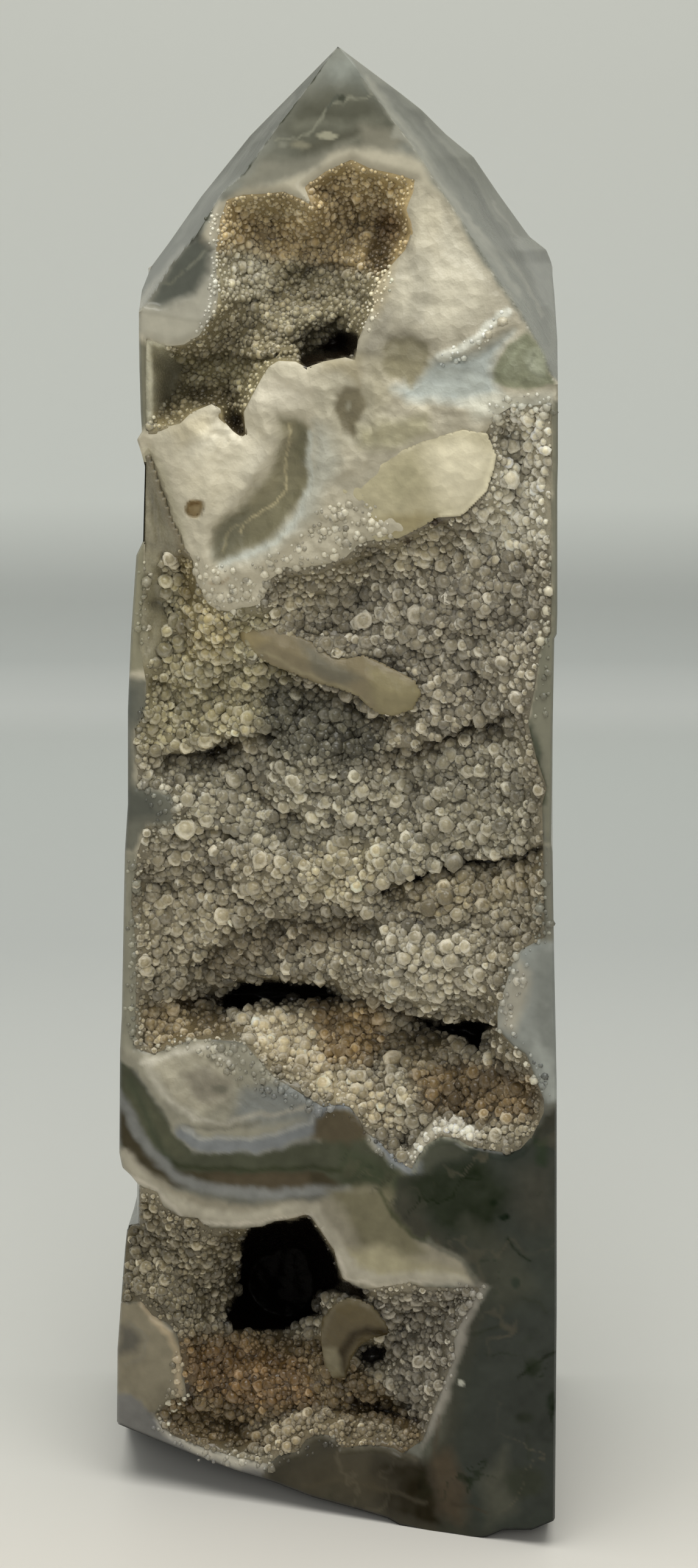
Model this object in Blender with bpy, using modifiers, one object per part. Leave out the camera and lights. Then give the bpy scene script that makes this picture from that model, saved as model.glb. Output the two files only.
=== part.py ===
"""Druzy moss agate tower.

A four-sided polished agate point that stands on its sawn foot. Its front is sawn through a hollow vein, so three
hollows open in it, and each is lined with one crust of small crystals. +Z is up, the front looks along -Y, and the
origin is the middle of the foot.

The front is laid out by eye: a place on it is a point of a flat picture, PICTURE pixels in size, seen from EYE. The
hollows are sunk into the stone along the lines of sight, so a depth is a length along such a line.
"""

import math

import bmesh
import bpy
import numpy as np
from mathutils import Vector

MM = 0.001

# The stone's corners
APEX = np.array((0.0, 0.0, 123.1)) * MM
FEET = np.array(((-18.85, -4.8, 0.0), (18.0, -17.05, 0.0), (18.85, 16.6, 0.0), (-18.0, 17.05, 0.0))) * MM
SHOULDERS = np.array(((-15.7, -4.1, 102.9), (16.9, -15.0, 99.8), (17.6, 15.0, 101.1), (-15.6, 15.0, 101.1))) * MM
# where the tip's back ridges and its front right ridge bulge
KNUCKLES = np.array(((-9.03, 7.82, 111.63), (10.82, 7.33, 112.35), (8.83, -7.28, 112.22))) * MM
EDGE_ROUND = 0.35 * MM
ROUNDED_FROM = math.radians(20)
FLAT_WITHIN = math.radians(2.5)

# The foot's front edge: lifted by a slanting cut at the left, and chipped at the right
LEFT_LIFT = 5.7 * MM
LEFT_CUT_DEPTH = 10.0 * MM
LEFT_CUT_END = np.array((6.8, -13.3, 0.0)) * MM
CHIP_LIFT = 2.8 * MM
CHIP_START = np.array((12.2, -15.1, 0.0)) * MM
CHIP_DEPTH = 7.0 * MM

# Where the layout is seen from
EYE = np.array((0.88, -469.85, 232.38)) * MM
AIM = np.array((0.88, 0.0, 61.37)) * MM
PICTURE = (1146, 2576)
PIXELS_PER_MM = 20.0

# The crusts
CRUST = 2.2 * MM
GAP = 0.5 * MM
GAP_PIXELS = 7.0
RIM_DEPTH = 0.4 * MM
LUMP_PIXELS = 58.0
LUMP_HEIGHT = 1.5 * MM
CRYSTAL_HEIGHT = 0.5 * MM
CRYSTAL_GRID = 21.0
FLOOR_GRID = 54.0
SLAB_MARGIN = 30.0
RIM_PIXELS = 14.0
RELIEF_PIXELS = 30.0
LEDGE_END_PIXELS = 20.0
AIR_DEPTH = 5 * MM

# Outlines of the hollows, as picture places, clockwise from the top left
UPPER_OUTLINE = (
    (366, 330), (437, 316), (482, 318), (505, 332), (503, 308), (534, 283), (577, 264), (646, 286), (680, 298),
    (662, 344), (673, 383), (642, 436), (612, 482), (601, 528), (583, 590), (503, 603), (457, 594), (434, 617),
    (402, 678), (396, 712), (365, 686), (330, 672), (296, 696), (252, 704), (246, 555), (276, 569), (305, 566),
    (337, 536), (356, 508), (356, 405),
)
MIDDLE_OUTLINE = (
    (240, 752), (258, 802), (278, 858), (300, 910), (322, 945), (340, 990), (380, 1004), (428, 994), (446, 952),
    (506, 932), (570, 917), (606, 890), (680, 872), (718, 852), (757, 850), (798, 812), (812, 776), (815, 700),
    (840, 668), (903, 664), (903, 1040), (888, 1060), (872, 1190), (893, 1300), (893, 1540), (856, 1560),
    (850, 1720), (893, 1806), (893, 1828), (854, 1884), (812, 1889), (770, 1881), (723, 1868), (676, 1921),
    (645, 1899), (592, 1845), (560, 1815), (520, 1830), (470, 1790), (410, 1722), (351, 1708), (251, 1732),
    (222, 1720), (224, 1400), (232, 1100), (236, 920),
)
POCKET_OUTLINE = (
    (160, 1936), (228, 1947), (262, 1962), (296, 1998), (338, 2016), (432, 2014), (504, 1995), (539, 2039),
    (563, 2100), (598, 2118), (645, 2112), (697, 2116), (780, 2118), (746, 2197), (722, 2290), (694, 2366),
    (608, 2372), (561, 2379), (526, 2355), (459, 2390), (395, 2396), (283, 2356), (262, 2317), (304, 2296),
    (297, 2229), (270, 2172), (233, 2138), (160, 2140),
)

# Wells: x, y, half width, half height in pixels, and the depth in millimetres that each adds (less than 0: a swell)
UPPER_WELLS = ((640, 372, 55, 50, 3.2), (545, 570, 60, 40, 6.5), (340, 640, 110, 60, 3.0), (384, 700, 26, 26, 3.5))
MIDDLE_WELLS = (
    (306, 945, 30, 50, 2.4), (372, 1236, 40, 24, 2.2), (450, 1650, 110, 26, 5.5), (748, 1702, 70, 24, 5.0),
    (640, 1690, 300, 60, 2.6), (330, 1660, 120, 40, 2.0), (520, 1075, 130, 42, -1.5), (690, 1590, 130, 70, -1.2),
    (345, 1030, 44, 50, -1.2),
)
POCKET_WELLS = (
    (470, 2095, 90, 90, 9.0), (310, 2085, 95, 100, -2.2), (610, 2225, 34, 30, 3.0), (640, 2316, 70, 16, 2.4),
    (545, 2190, 30, 60, -3.4), (600, 2150, 46, 26, -3.0), (596, 2270, 32, 36, -1.6),
)

# Ledges: a lip, the gap in millimetres that opens below it, and the pixels over which the gap closes again
UPPER_LEDGES = (
    (((250, 562), (300, 582), (398, 590), (490, 582), (511, 556), (590, 540)), 3.0, 90),
    (((353, 518), (381, 500), (414, 492)), 1.2, 40),
)
MIDDLE_LEDGES = (
    (((266, 1238), (336, 1227), (357, 1217), (404, 1201), (441, 1199)), 2.4, 45),
    (((645, 1236), (744, 1206), (762, 1188), (815, 1183), (841, 1165)), 2.2, 40),
    (((399, 1259), (425, 1303), (465, 1332), (485, 1335)), 1.2, 32),
    (((631, 1456), (676, 1442), (726, 1425), (796, 1409), (846, 1410), (893, 1386)), 2.6, 20),
    (((318, 1581), (346, 1557), (400, 1515), (482, 1503), (594, 1500), (614, 1505)), 2.4, 60),
    (((306, 1642), (391, 1612), (528, 1611), (611, 1641), (686, 1670), (815, 1684)), 2.6, 60),
)
POCKET_LEDGES = ((((300, 2260), (330, 2320), (397, 2340)), 1.8, 40), (((574, 2295), (637, 2317), (689, 2329)), 1.6, 24))


def sight_axes():
    """Returns the view's direction away from the eye, its right and its up."""
    away = (AIM - EYE) / np.linalg.norm(AIM - EYE)
    right = np.cross(away, (0, 0, 1))
    right /= np.linalg.norm(right)
    return away, right, np.cross(right, away)


AWAY, RIGHT, UP = sight_axes()
FOCUS = PIXELS_PER_MM / MM * np.linalg.norm(AIM - EYE)
NEAR, FAR = 420 * MM, 560 * MM


def sight_lines(places):
    """Unit directions from the eye through an (n, 2) array of picture places."""
    x = (places[:, 0] - PICTURE[0] / 2) / FOCUS
    y = (PICTURE[1] / 2 - places[:, 1]) / FOCUS
    lines = AWAY + x[:, None] * RIGHT + y[:, None] * UP
    return lines / np.linalg.norm(lines, axis=1, keepdims=True)


def skin(places):
    """Distance from the eye to the front's two planes, the face below the shoulder and the facet above it."""
    lines = sight_lines(places)
    reached = []
    for a, b, c in ((FEET[0], FEET[1], SHOULDERS[1]), (SHOULDERS[0], SHOULDERS[1], APEX)):
        normal = np.cross(b - a, c - a)
        reached.append(np.dot(a - EYE, normal) / (lines @ normal))
    return np.maximum(*reached)


def on_sight(places, distance):
    return EYE + sight_lines(places) * distance[:, None]


def rim_distance(places, outline):
    """Pixels from each place to the outline, positive inside it."""
    a = np.array(outline, float)
    b = np.roll(a, -1, axis=0)
    along = b - a
    away = places[:, None, :] - a
    share = np.clip((away * along).sum(2) / (along**2).sum(1), 0, 1)
    nearest = np.linalg.norm(away - share[..., None] * along, axis=2).min(1)
    crosses = (a[:, 1] > places[:, 1:2]) != (b[:, 1] > places[:, 1:2])
    rise = np.where(along[:, 1] == 0, 1e-9, along[:, 1])
    left = places[:, :1] < a[:, 0] + along[:, 0] * (places[:, 1:2] - a[:, 1]) / rise
    return np.where((crosses & left).sum(1) % 2 == 1, nearest, -nearest)


def hollow_depth(places, hollow):
    """Depth of the crystals below the front: a bowl from the rim, with wells, and ledges that overhang a gap."""
    inside = np.clip(rim_distance(places, hollow["outline"]), 0, None)
    depth = hollow["depth"] * (1 - np.exp(-inside / hollow["slope"]))
    for x, y, wide, high, deeper in hollow["wells"]:
        bell = np.exp(-(((places[:, 0] - x) / wide) ** 2) - ((places[:, 1] - y) / high) ** 2)
        depth += deeper * MM * bell
    for lip, gap, reach in hollow["ledges"]:
        lip = np.array(lip, float)
        below = places[:, 1] - np.interp(places[:, 0], lip[:, 0], lip[:, 1])
        ends = np.minimum(places[:, 0] - lip[0, 0], lip[-1, 0] - places[:, 0])
        there = np.clip(ends / LEDGE_END_PIXELS + 1, 0, 1) * (below > 0)
        depth += gap * MM * there * np.exp(-below / reach)
    depth *= 1 - np.exp(-inside / RIM_PIXELS)
    return RIM_DEPTH + np.clip(depth, 0, None)


def floor_depth(places, hollow):
    """Depth of the stone's own floor: the deepest crystals within a step of the floor's grid, and the crust."""
    step = FLOOR_GRID / 2
    around = [(dx * step, dy * step) for dx in (-1, 0, 1) for dy in (-1, 0, 1)]
    return np.max([hollow_depth(places + shift, hollow) for shift in around], axis=0) + CRUST


def crystal_relief(places, rng):
    """Rounded clusters on a jittered lattice, and flat-faced crystals: each grid point is a peak or a notch."""
    cells = np.floor(places / LUMP_PIXELS).astype(int)
    low = cells.min(0) - 1
    span = cells.max(0) - low + 3
    jitter = rng.uniform(0.1, 0.9, (span[0], span[1], 2))
    size = rng.uniform(0.55, 1.0, (span[0], span[1]))
    nearest = np.full(len(places), 9.0)
    height = np.zeros(len(places))
    for dx in (-1, 0, 1):
        for dy in (-1, 0, 1):
            cell = cells + (dx, dy)
            i, j = (cell - low).T
            away = np.linalg.norm(places - (cell + jitter[i, j]) * LUMP_PIXELS, axis=1) / LUMP_PIXELS
            closer = away < nearest
            nearest = np.where(closer, away, nearest)
            height = np.where(closer, size[i, j], height)
    dome = height * np.sqrt(np.clip(1 - (nearest / 0.85) ** 2, 0, 1))
    peak = rng.uniform(-1, 1, len(places))
    return LUMP_HEIGHT * dome + CRYSTAL_HEIGHT * np.sign(peak) * np.sqrt(np.abs(peak))


def add_object(name, mesh, collection):
    thing = bpy.data.objects.new(name, mesh)
    collection.objects.link(thing)
    return thing


def helper(name, mesh, collection):
    thing = add_object(name, mesh, collection)
    thing.hide_render = True
    thing.display_type = "WIRE"
    return thing


def mesh_from(name, work):
    """Turns a finished bmesh into a mesh with outward faces."""
    bmesh.ops.recalc_face_normals(work, faces=work.faces)
    if work.calc_volume(signed=True) < 0:
        bmesh.ops.reverse_faces(work, faces=work.faces)
    mesh = bpy.data.meshes.new(name)
    work.to_mesh(mesh)
    work.free()
    return mesh


def column(name, outline, collection, inset=0.0):
    """The outline carried along the lines of sight, from in front of the stone to behind it."""
    flat = bmesh.new()
    ring = [flat.verts.new((x, -y, 0)) for x, y in outline]
    face = flat.faces.new(ring)
    if inset:
        bmesh.ops.inset_region(flat, faces=[face], thickness=inset, use_even_offset=True)
        outside = [f for f in flat.faces if f is not face]
        bmesh.ops.delete(flat, geom=outside, context="FACES")
    near = list(face.verts)
    far = bmesh.ops.extrude_face_region(flat, geom=[face])
    far = [item for item in far["geom"] if isinstance(item, bmesh.types.BMVert)]
    for verts, distance in ((near, NEAR), (far, FAR)):
        for vert in verts:
            place = np.array([[vert.co.x, -vert.co.y]])
            line = sight_lines(place)[0]
            vert.co = Vector(EYE + line * distance / np.dot(line, AWAY))
    return helper(name, mesh_from(name, flat), collection)


def slab(name, outline, spacing, depth_of, collection):
    """Everything in front of a surface given by its depth at each point of a grid, which is wider than the outline."""
    corner = np.array(outline, float).min(0) - SLAB_MARGIN
    size = np.array(outline, float).max(0) + SLAB_MARGIN - corner
    count = np.maximum(2, np.round(size / spacing).astype(int))
    work = bmesh.new()
    bmesh.ops.create_grid(work, x_segments=int(count[0]), y_segments=int(count[1]), size=0.5)
    bmesh.ops.triangulate(work, faces=list(work.faces), quad_method="FIXED")
    back = list(work.verts)
    front = bmesh.ops.extrude_face_region(work, geom=list(work.faces))
    front = [item for item in front["geom"] if isinstance(item, bmesh.types.BMVert)]
    places = np.array([(v.co.x + 0.5, 0.5 - v.co.y) for v in back]) * size + corner
    for vert, point in zip(back, on_sight(places, skin(places) + depth_of(places))):
        vert.co = Vector(point)
    places = np.array([(v.co.x + 0.5, 0.5 - v.co.y) for v in front]) * size + corner
    for vert, point in zip(front, on_sight(places, skin(places) - AIR_DEPTH)):
        vert.co = Vector(point)
    return helper(name, mesh_from(name, work), collection)


def boolean(thing, operation, other):
    cut = thing.modifiers.new(f"{operation.title()} {other.name}", "BOOLEAN")
    cut.operation = operation
    cut.solver = "EXACT"
    cut.object = other


def stone_mesh():
    """The hull of the feet, the shoulders, the knuckles and the apex, with the foot's front edge cut and chipped."""
    work = bmesh.new()
    for point in (*FEET, *SHOULDERS, *KNUCKLES, APEX):
        work.verts.new(Vector(point))
    bmesh.ops.convex_hull(work, input=list(work.verts))
    bmesh.ops.dissolve_limit(work, angle_limit=FLAT_WITHIN, verts=list(work.verts), edges=list(work.edges))
    edge = (FEET[1] - FEET[0]) / np.linalg.norm(FEET[1] - FEET[0])
    inward = np.array((-edge[1], edge[0], 0.0))
    lifted = FEET[0] + (SHOULDERS[0] - FEET[0]) * LEFT_LIFT / SHOULDERS[0][2]
    cut_foot(work, lifted, LEFT_CUT_END, FEET[0] + inward * LEFT_CUT_DEPTH)
    lifted = FEET[1] + (SHOULDERS[1] - FEET[1]) * CHIP_LIFT / SHOULDERS[1][2]
    cut_foot(work, lifted, CHIP_START, FEET[1] + inward * CHIP_DEPTH)
    return mesh_from("tower", work)


def cut_foot(work, a, b, c):
    """Takes off what lies below the plane through three points, and closes the cut."""
    normal = np.cross(b - a, c - a)
    if normal[2] > 0:
        normal = -normal
    cut = bmesh.ops.bisect_plane(
        work, geom=[*work.verts, *work.edges, *work.faces], dist=1e-7, plane_co=Vector(a),
        plane_no=Vector(normal), clear_outer=True,
    )
    ring = [item for item in cut["geom_cut"] if isinstance(item, bmesh.types.BMEdge)]
    bmesh.ops.contextual_create(work, geom=ring)


def material(name, colour, roughness):
    finish = bpy.data.materials.new(name)
    finish.use_nodes = True
    shader = finish.node_tree.nodes["Principled BSDF"]
    shader.inputs["Base Color"].default_value = (*colour, 1)
    shader.inputs["Roughness"].default_value = roughness
    shader.inputs["Metallic"].default_value = 0.0
    return finish


def build():
    for thing in list(bpy.data.objects):
        bpy.data.objects.remove(thing)
    parts = bpy.data.collections.new("Druzy moss agate tower")
    tools = bpy.data.collections.new("Cutters")
    bpy.context.scene.collection.children.link(parts)
    bpy.context.scene.collection.children.link(tools)

    tower = add_object("tower", stone_mesh(), parts)
    rounding = tower.modifiers.new("Polished edges", "BEVEL")
    rounding.width = EDGE_ROUND
    rounding.segments = 2
    rounding.limit_method = "ANGLE"
    rounding.angle_limit = ROUNDED_FROM
    tower.data.materials.append(material("polished_agate", (0.40, 0.41, 0.38), 0.2))

    hollows = {
        "upper_hollow": dict(
            outline=UPPER_OUTLINE, depth=7.4 * MM, slope=46, wells=UPPER_WELLS, ledges=UPPER_LEDGES, seed=3,
            colour=(0.42, 0.38, 0.30),
        ),
        "middle_hollow": dict(
            outline=MIDDLE_OUTLINE, depth=3.1 * MM, slope=32, wells=MIDDLE_WELLS, ledges=MIDDLE_LEDGES, seed=5,
            colour=(0.46, 0.43, 0.36),
        ),
        "lower_pocket": dict(
            outline=POCKET_OUTLINE, depth=6.4 * MM, slope=70, wells=POCKET_WELLS, ledges=POCKET_LEDGES, seed=8,
            colour=(0.42, 0.34, 0.24),
        ),
    }
    for name, hollow in hollows.items():
        outline = hollow["outline"]
        rng = np.random.default_rng(hollow["seed"])

        def crystals(places, hollow=hollow, rng=rng):
            reach = np.clip(rim_distance(places, hollow["outline"]) / RELIEF_PIXELS, 0, 1)
            return np.clip(hollow_depth(places, hollow) - crystal_relief(places, rng) * reach, RIM_DEPTH, None)

        def floor(places, hollow=hollow):
            return floor_depth(places, hollow)

        def bed_top(places, hollow=hollow):
            return floor_depth(places, hollow) - GAP

        opening = slab(f"{name}_cutter", outline, FLOOR_GRID, floor, tools)
        boolean(opening, "INTERSECT", column(f"{name}_outline", outline, tools))
        boolean(tower, "DIFFERENCE", opening)

        crust = add_object(f"{name}_crust", stone_mesh(), parts)
        bed = slab(f"{name}_bed", outline, FLOOR_GRID, bed_top, tools)
        boolean(crust, "INTERSECT", column(f"{name}_inset", outline, tools, GAP_PIXELS))
        boolean(crust, "INTERSECT", bed)
        boolean(crust, "DIFFERENCE", slab(f"{name}_air", outline, CRYSTAL_GRID, crystals, tools))
        crust.data.materials.append(material(f"{name}_crystals", hollow["colour"], 0.45))


build()
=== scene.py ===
"""Druzy moss agate tower.

A polished agate point, open at the front in hollows lined with small crystals. The front is laid out in
picture places: a place on it is a point of a flat picture, PICTURE pixels in size, seen from EYE, and every
surface of the front lies on the lines of sight through its places. A depth is a length along such a line,
behind the polished front. Colours are written as 0 to 255 per channel, as they look, and turned into linear
light by tint().
"""

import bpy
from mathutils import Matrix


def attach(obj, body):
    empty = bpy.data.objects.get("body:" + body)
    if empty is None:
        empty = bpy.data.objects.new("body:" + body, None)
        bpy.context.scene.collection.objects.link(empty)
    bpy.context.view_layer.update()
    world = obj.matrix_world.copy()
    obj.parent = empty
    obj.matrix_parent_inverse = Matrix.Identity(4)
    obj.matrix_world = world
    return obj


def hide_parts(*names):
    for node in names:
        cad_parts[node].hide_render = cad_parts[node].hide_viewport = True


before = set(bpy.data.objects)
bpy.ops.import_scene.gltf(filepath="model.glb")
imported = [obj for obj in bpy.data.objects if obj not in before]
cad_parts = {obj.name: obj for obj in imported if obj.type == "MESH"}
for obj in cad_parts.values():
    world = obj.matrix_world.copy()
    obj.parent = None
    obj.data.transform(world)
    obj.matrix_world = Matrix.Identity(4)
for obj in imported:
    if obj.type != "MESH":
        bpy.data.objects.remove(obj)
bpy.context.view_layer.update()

import math

import bmesh
import bpy
import numpy as np
from mathutils import Vector

MM = 0.001
EYE = np.array((0.88, -469.85, 232.38)) * MM
AIM = np.array((0.88, 0.0, 61.37)) * MM
PICTURE = (1146, 2576)
PIXELS_PER_MM = 20.0
SENSOR = 36.0

# The stone's corners
APEX = np.array((0.0, 0.0, 123.1)) * MM
FEET = np.array(((-18.85, -4.8, 0.0), (18.0, -17.05, 0.0), (18.85, 16.6, 0.0), (-18.0, 17.05, 0.0))) * MM
SHOULDERS = np.array((
    (-15.7, -4.1, 102.9), (16.9, -15.0, 99.8), (17.6, 15.0, 101.1), (-15.6, 15.0, 101.1),
)) * MM
EDGE_ROUND = 0.4 * MM
EDGE_PIXELS = 8.0
RIM_DEPTH = 0.4 * MM

# The stone's edges as picture places, from the apex down
LEFT_EDGE = (
    (555, 77), (411, 223), (330, 324), (277, 400), (248, 439), (233, 477), (228, 513), (228, 543), (229, 604),
    (231, 673), (233, 709), (225, 722), (233, 747), (238, 766), (235, 889), (224, 912), (215, 1044),
         (210, 1165),
    (210, 1321), (205, 1400), (200, 1668), (197, 1725), (196, 1894), (201, 1918), (215, 1931), (228, 1947),
    (227, 2013), (209, 2018), (205, 2055), (197, 2160), (193, 2217), (192, 2335),
)
RIGHT_EDGE = (
    (555, 77), (654, 151), (691, 180), (732, 221), (777, 258), (817, 317), (863, 381), (870, 390), (897, 411),
    (905, 431), (910, 482), (915, 559), (916, 648), (916, 760), (915, 802), (915, 1006), (914, 1042),
         (910, 1049),
    (907, 1217), (905, 1384), (907, 1400), (910, 1583), (914, 1780), (914, 2160), (911, 2493),
)
LEFT_RIDGE = (
    (555, 77), (534, 103), (498, 154), (462, 200), (437, 236), (399, 287), (363, 318), (322, 385), (284, 431),
    (245, 492), (230, 510),
)
RIGHT_RIDGE = (
    (555, 77), (584, 111), (611, 151), (635, 183), (659, 215), (691, 261), (761, 368), (795, 423), (823, 469),
    (846, 500), (864, 530), (879, 558), (897, 592), (905, 615), (915, 640),
)
BASE_EDGE = (
    (192, 2335), (309, 2383), (385, 2412), (438, 2427), (512, 2455), (608, 2481), (637, 2490), (658, 2502),
    (708, 2515), (743, 2518), (775, 2524), (799, 2521), (828, 2509), (875, 2509), (911, 2494),
)
# how far back the outer edges of the tip lie, in millimetres, by picture height
LEFT_BACK = ((77, 0.0), (270, 7.8), (440, 15.0), (513, -4.1))
RIGHT_BACK = ((77, 0.0), (258, 7.3), (431, 15.0), (633, -15.0))

UPPER_OUTLINE = (
    (373, 328), (399, 320), (437, 318), (465, 315), (492, 326), (512, 338), (500, 307), (534, 282),
         (577, 262),
    (608, 277), (646, 285), (681, 296), (675, 317), (662, 344), (670, 363), (675, 383), (665, 411),
         (642, 436),
    (622, 462), (611, 482), (614, 500), (601, 528), (588, 559), (583, 592), (567, 587), (531, 594),
         (503, 604),
    (485, 594), (457, 593), (442, 602), (432, 617), (414, 650), (400, 678), (404, 714), (396, 718),
         (383, 709),
    (365, 689), (362, 671), (347, 664), (330, 671), (314, 678), (296, 696), (258, 705), (240, 709),
         (238, 640),
    (240, 556), (276, 569), (302, 566), (327, 551), (337, 536), (347, 523), (355, 508), (358, 482),
         (355, 444),
    (355, 405), (362, 360),
)
MIDDLE_OUTLINE = (
    (240, 752), (248, 775), (256, 802), (276, 858), (292, 889), (297, 904), (317, 924), (320, 945),
         (325, 965),
    (340, 991), (358, 1003), (379, 1006), (404, 1001), (430, 996), (445, 953), (470, 935), (506, 932),
         (544, 925),
    (570, 917), (600, 889), (655, 884), (683, 871), (706, 858), (718, 850), (757, 848), (775, 833),
         (798, 810),
    (810, 776), (813, 748), (800, 712), (812, 685), (840, 668), (905, 664), (905, 1040), (888, 1060),
         (880, 1120),
    (867, 1188), (880, 1243), (898, 1295), (890, 1321), (892, 1389), (894, 1540), (856, 1560), (841, 1583),
    (817, 1661), (817, 1690), (843, 1719), (864, 1732), (893, 1806), (893, 1828), (875, 1865), (854, 1888),
    (835, 1895), (812, 1891), (770, 1883), (749, 1870), (723, 1867), (697, 1883), (686, 1899), (676, 1921),
    (645, 1901), (618, 1872), (598, 1859), (587, 1835), (574, 1819), (555, 1814), (531, 1819), (500, 1800),
    (450, 1770), (400, 1713), (351, 1708), (314, 1708), (251, 1732), (222, 1722), (224, 1560), (215, 1480),
    (226, 1400), (240, 1358), (281, 1355), (290, 1320), (270, 1296), (228, 1292), (222, 1200), (240, 1170),
    (240, 1120), (228, 1060), (238, 920),
)
POCKET_OUTLINE = (
    (160, 1936), (228, 1947), (258, 1958), (268, 1982), (295, 1998), (325, 2001), (338, 2017), (357, 2017),
    (400, 2018), (432, 2014), (451, 2006), (475, 2002), (504, 1994), (515, 2004), (539, 2039), (550, 2055),
    (555, 2079), (563, 2100), (579, 2110), (598, 2118), (645, 2112), (671, 2108), (697, 2114), (745, 2116),
    (790, 2114), (763, 2159), (746, 2197), (743, 2235), (722, 2290), (708, 2330), (694, 2366), (661, 2388),
    (646, 2379), (608, 2373), (561, 2379), (550, 2361), (526, 2355), (503, 2364), (488, 2385), (459, 2390),
    (441, 2405), (395, 2396), (340, 2380), (283, 2358), (253, 2326), (280, 2300), (306, 2294), (303, 2264),
    (297, 2229), (291, 2188), (274, 2173), (250, 2161), (233, 2138), (160, 2140),
)

# Wells: x, y, half width, half height in pixels, and the depth in millimetres that each adds (less than 0:
# a swell)
UPPER_WELLS = (
    (636, 372, 40, 40, 3.2), (545, 572, 62, 30, 9.0), (340, 640, 110, 60, 3.0), (384, 700, 24, 24, 4.5),
    (470, 500, 60, 40, -1.2), (600, 310, 60, 30, -0.8), (232, 630, 34, 100, -6.0),
)
MIDDLE_WELLS = (
    (306, 945, 26, 50, 2.6), (372, 1236, 36, 18, 3.0), (450, 1634, 95, 18, 8.0), (748, 1690, 62, 16, 6.0),
    (785, 1704, 22, 16, 5.0), (640, 1700, 300, 60, 2.2), (330, 1660, 120, 40, 1.6),
         (520, 1075, 130, 42, -1.2),
    (690, 1590, 130, 70, -1.4), (345, 1030, 44, 50, -1.4), (580, 1240, 160, 60, -0.8),
         (420, 1440, 150, 60, -0.9),
    (760, 1000, 120, 90, -0.8), (350, 1400, 60, 36, -0.6),
)
POCKET_WELLS = (
    (465, 2095, 80, 84, 13.0), (310, 2085, 95, 100, -2.4), (612, 2226, 28, 24, 4.0), (640, 2312, 70, 12, 2.6),
    (590, 2270, 32, 30, -1.8), (430, 2290, 110, 50, -1.2),
)
# Ledges: a lip, the gap in millimetres that opens below it, and the pixels over which the gap closes again
UPPER_LEDGES = (
    (((250, 562), (300, 582), (398, 586), (430, 585), (490, 580), (511, 550), (556, 518)), 3.0, 80),
    (((353, 518), (381, 500), (414, 492)), 1.4, 40),
    (((420, 420), (470, 440), (540, 430), (600, 440)), 0.7, 40),
    (((370, 470), (430, 462), (470, 490), (540, 486)), 0.6, 30),
)
MIDDLE_LEDGES = (
    (((266, 1238), (336, 1227), (357, 1217), (404, 1201), (441, 1199)), 2.6, 40),
    (((645, 1232), (681, 1230), (744, 1206), (762, 1188), (815, 1183), (841, 1165)), 2.4, 34),
    (((399, 1259), (425, 1303), (465, 1332), (485, 1335)), 1.4, 26),
    (((289, 1368), (347, 1358), (373, 1368)), 1.4, 26),
    (((631, 1456), (676, 1442), (726, 1425), (796, 1409), (846, 1410), (893, 1386)), 3.0, 16),
    (((318, 1581), (346, 1557), (362, 1534), (400, 1515), (482, 1503), (594, 1500), (614, 1505)), 2.2, 52),
    (((306, 1642), (367, 1628), (391, 1612), (528, 1611), (563, 1632), (611, 1641), (686, 1670), (815, 1682)),
     3.2, 36),
    (((436, 1082), (497, 1116), (573, 1142), (614, 1172), (675, 1175)), 1.6, 40),
    (((560, 925), (655, 892), (718, 858)), 1.6, 40),
    (((240, 1110), (300, 1130), (350, 1120), (380, 1090)), 0.8, 30),
    (((690, 1060), (740, 1030), (800, 1045)), 0.7, 30),
    (((820, 1735), (849, 1776), (896, 1807)), 1.5, 22),
    (((230, 1440), (300, 1452), (360, 1440), (430, 1425)), 0.7, 30),
)
POCKET_LEDGES = (
    (((296, 2262), (330, 2312), (397, 2332)), 2.0, 34), (((574, 2295), (608, 2302), (637, 2317),
         (689, 2329)), 1.8, 20),
    (((520, 2200), (560, 2270), (600, 2240)), 1.2, 26),
)
# Each hollow: its outline, how deep it is and over how many pixels it falls off, its wells and ledges, how
# wide its clusters of crystals are in pixels, how strongly painted shade darkens its crystals in the valleys
# between them and painted light brightens them on top, and the share of light that it gets
HOLLOWS = {
    "upper": dict(
        outline=UPPER_OUTLINE, depth=7.0 * MM, slope=46, wells=UPPER_WELLS, ledges=UPPER_LEDGES,
        lumps=60, contrast=0.6, light=0.35,
    ),
    "middle": dict(
        outline=MIDDLE_OUTLINE, depth=2.7 * MM, slope=30, wells=MIDDLE_WELLS, ledges=MIDDLE_LEDGES,
        lumps=76, contrast=1.0, light=0.5,
    ),
    "pocket": dict(
        outline=POCKET_OUTLINE, depth=5.6 * MM, slope=60, wells=POCKET_WELLS, ledges=POCKET_LEDGES,
        lumps=64, contrast=0.8, light=0.44,
    ),
}
CRUST_NODES = {"upper": "upper_hollow_crust", "middle": "middle_hollow_crust", "pocket": "lower_pocket_crust"}

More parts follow.
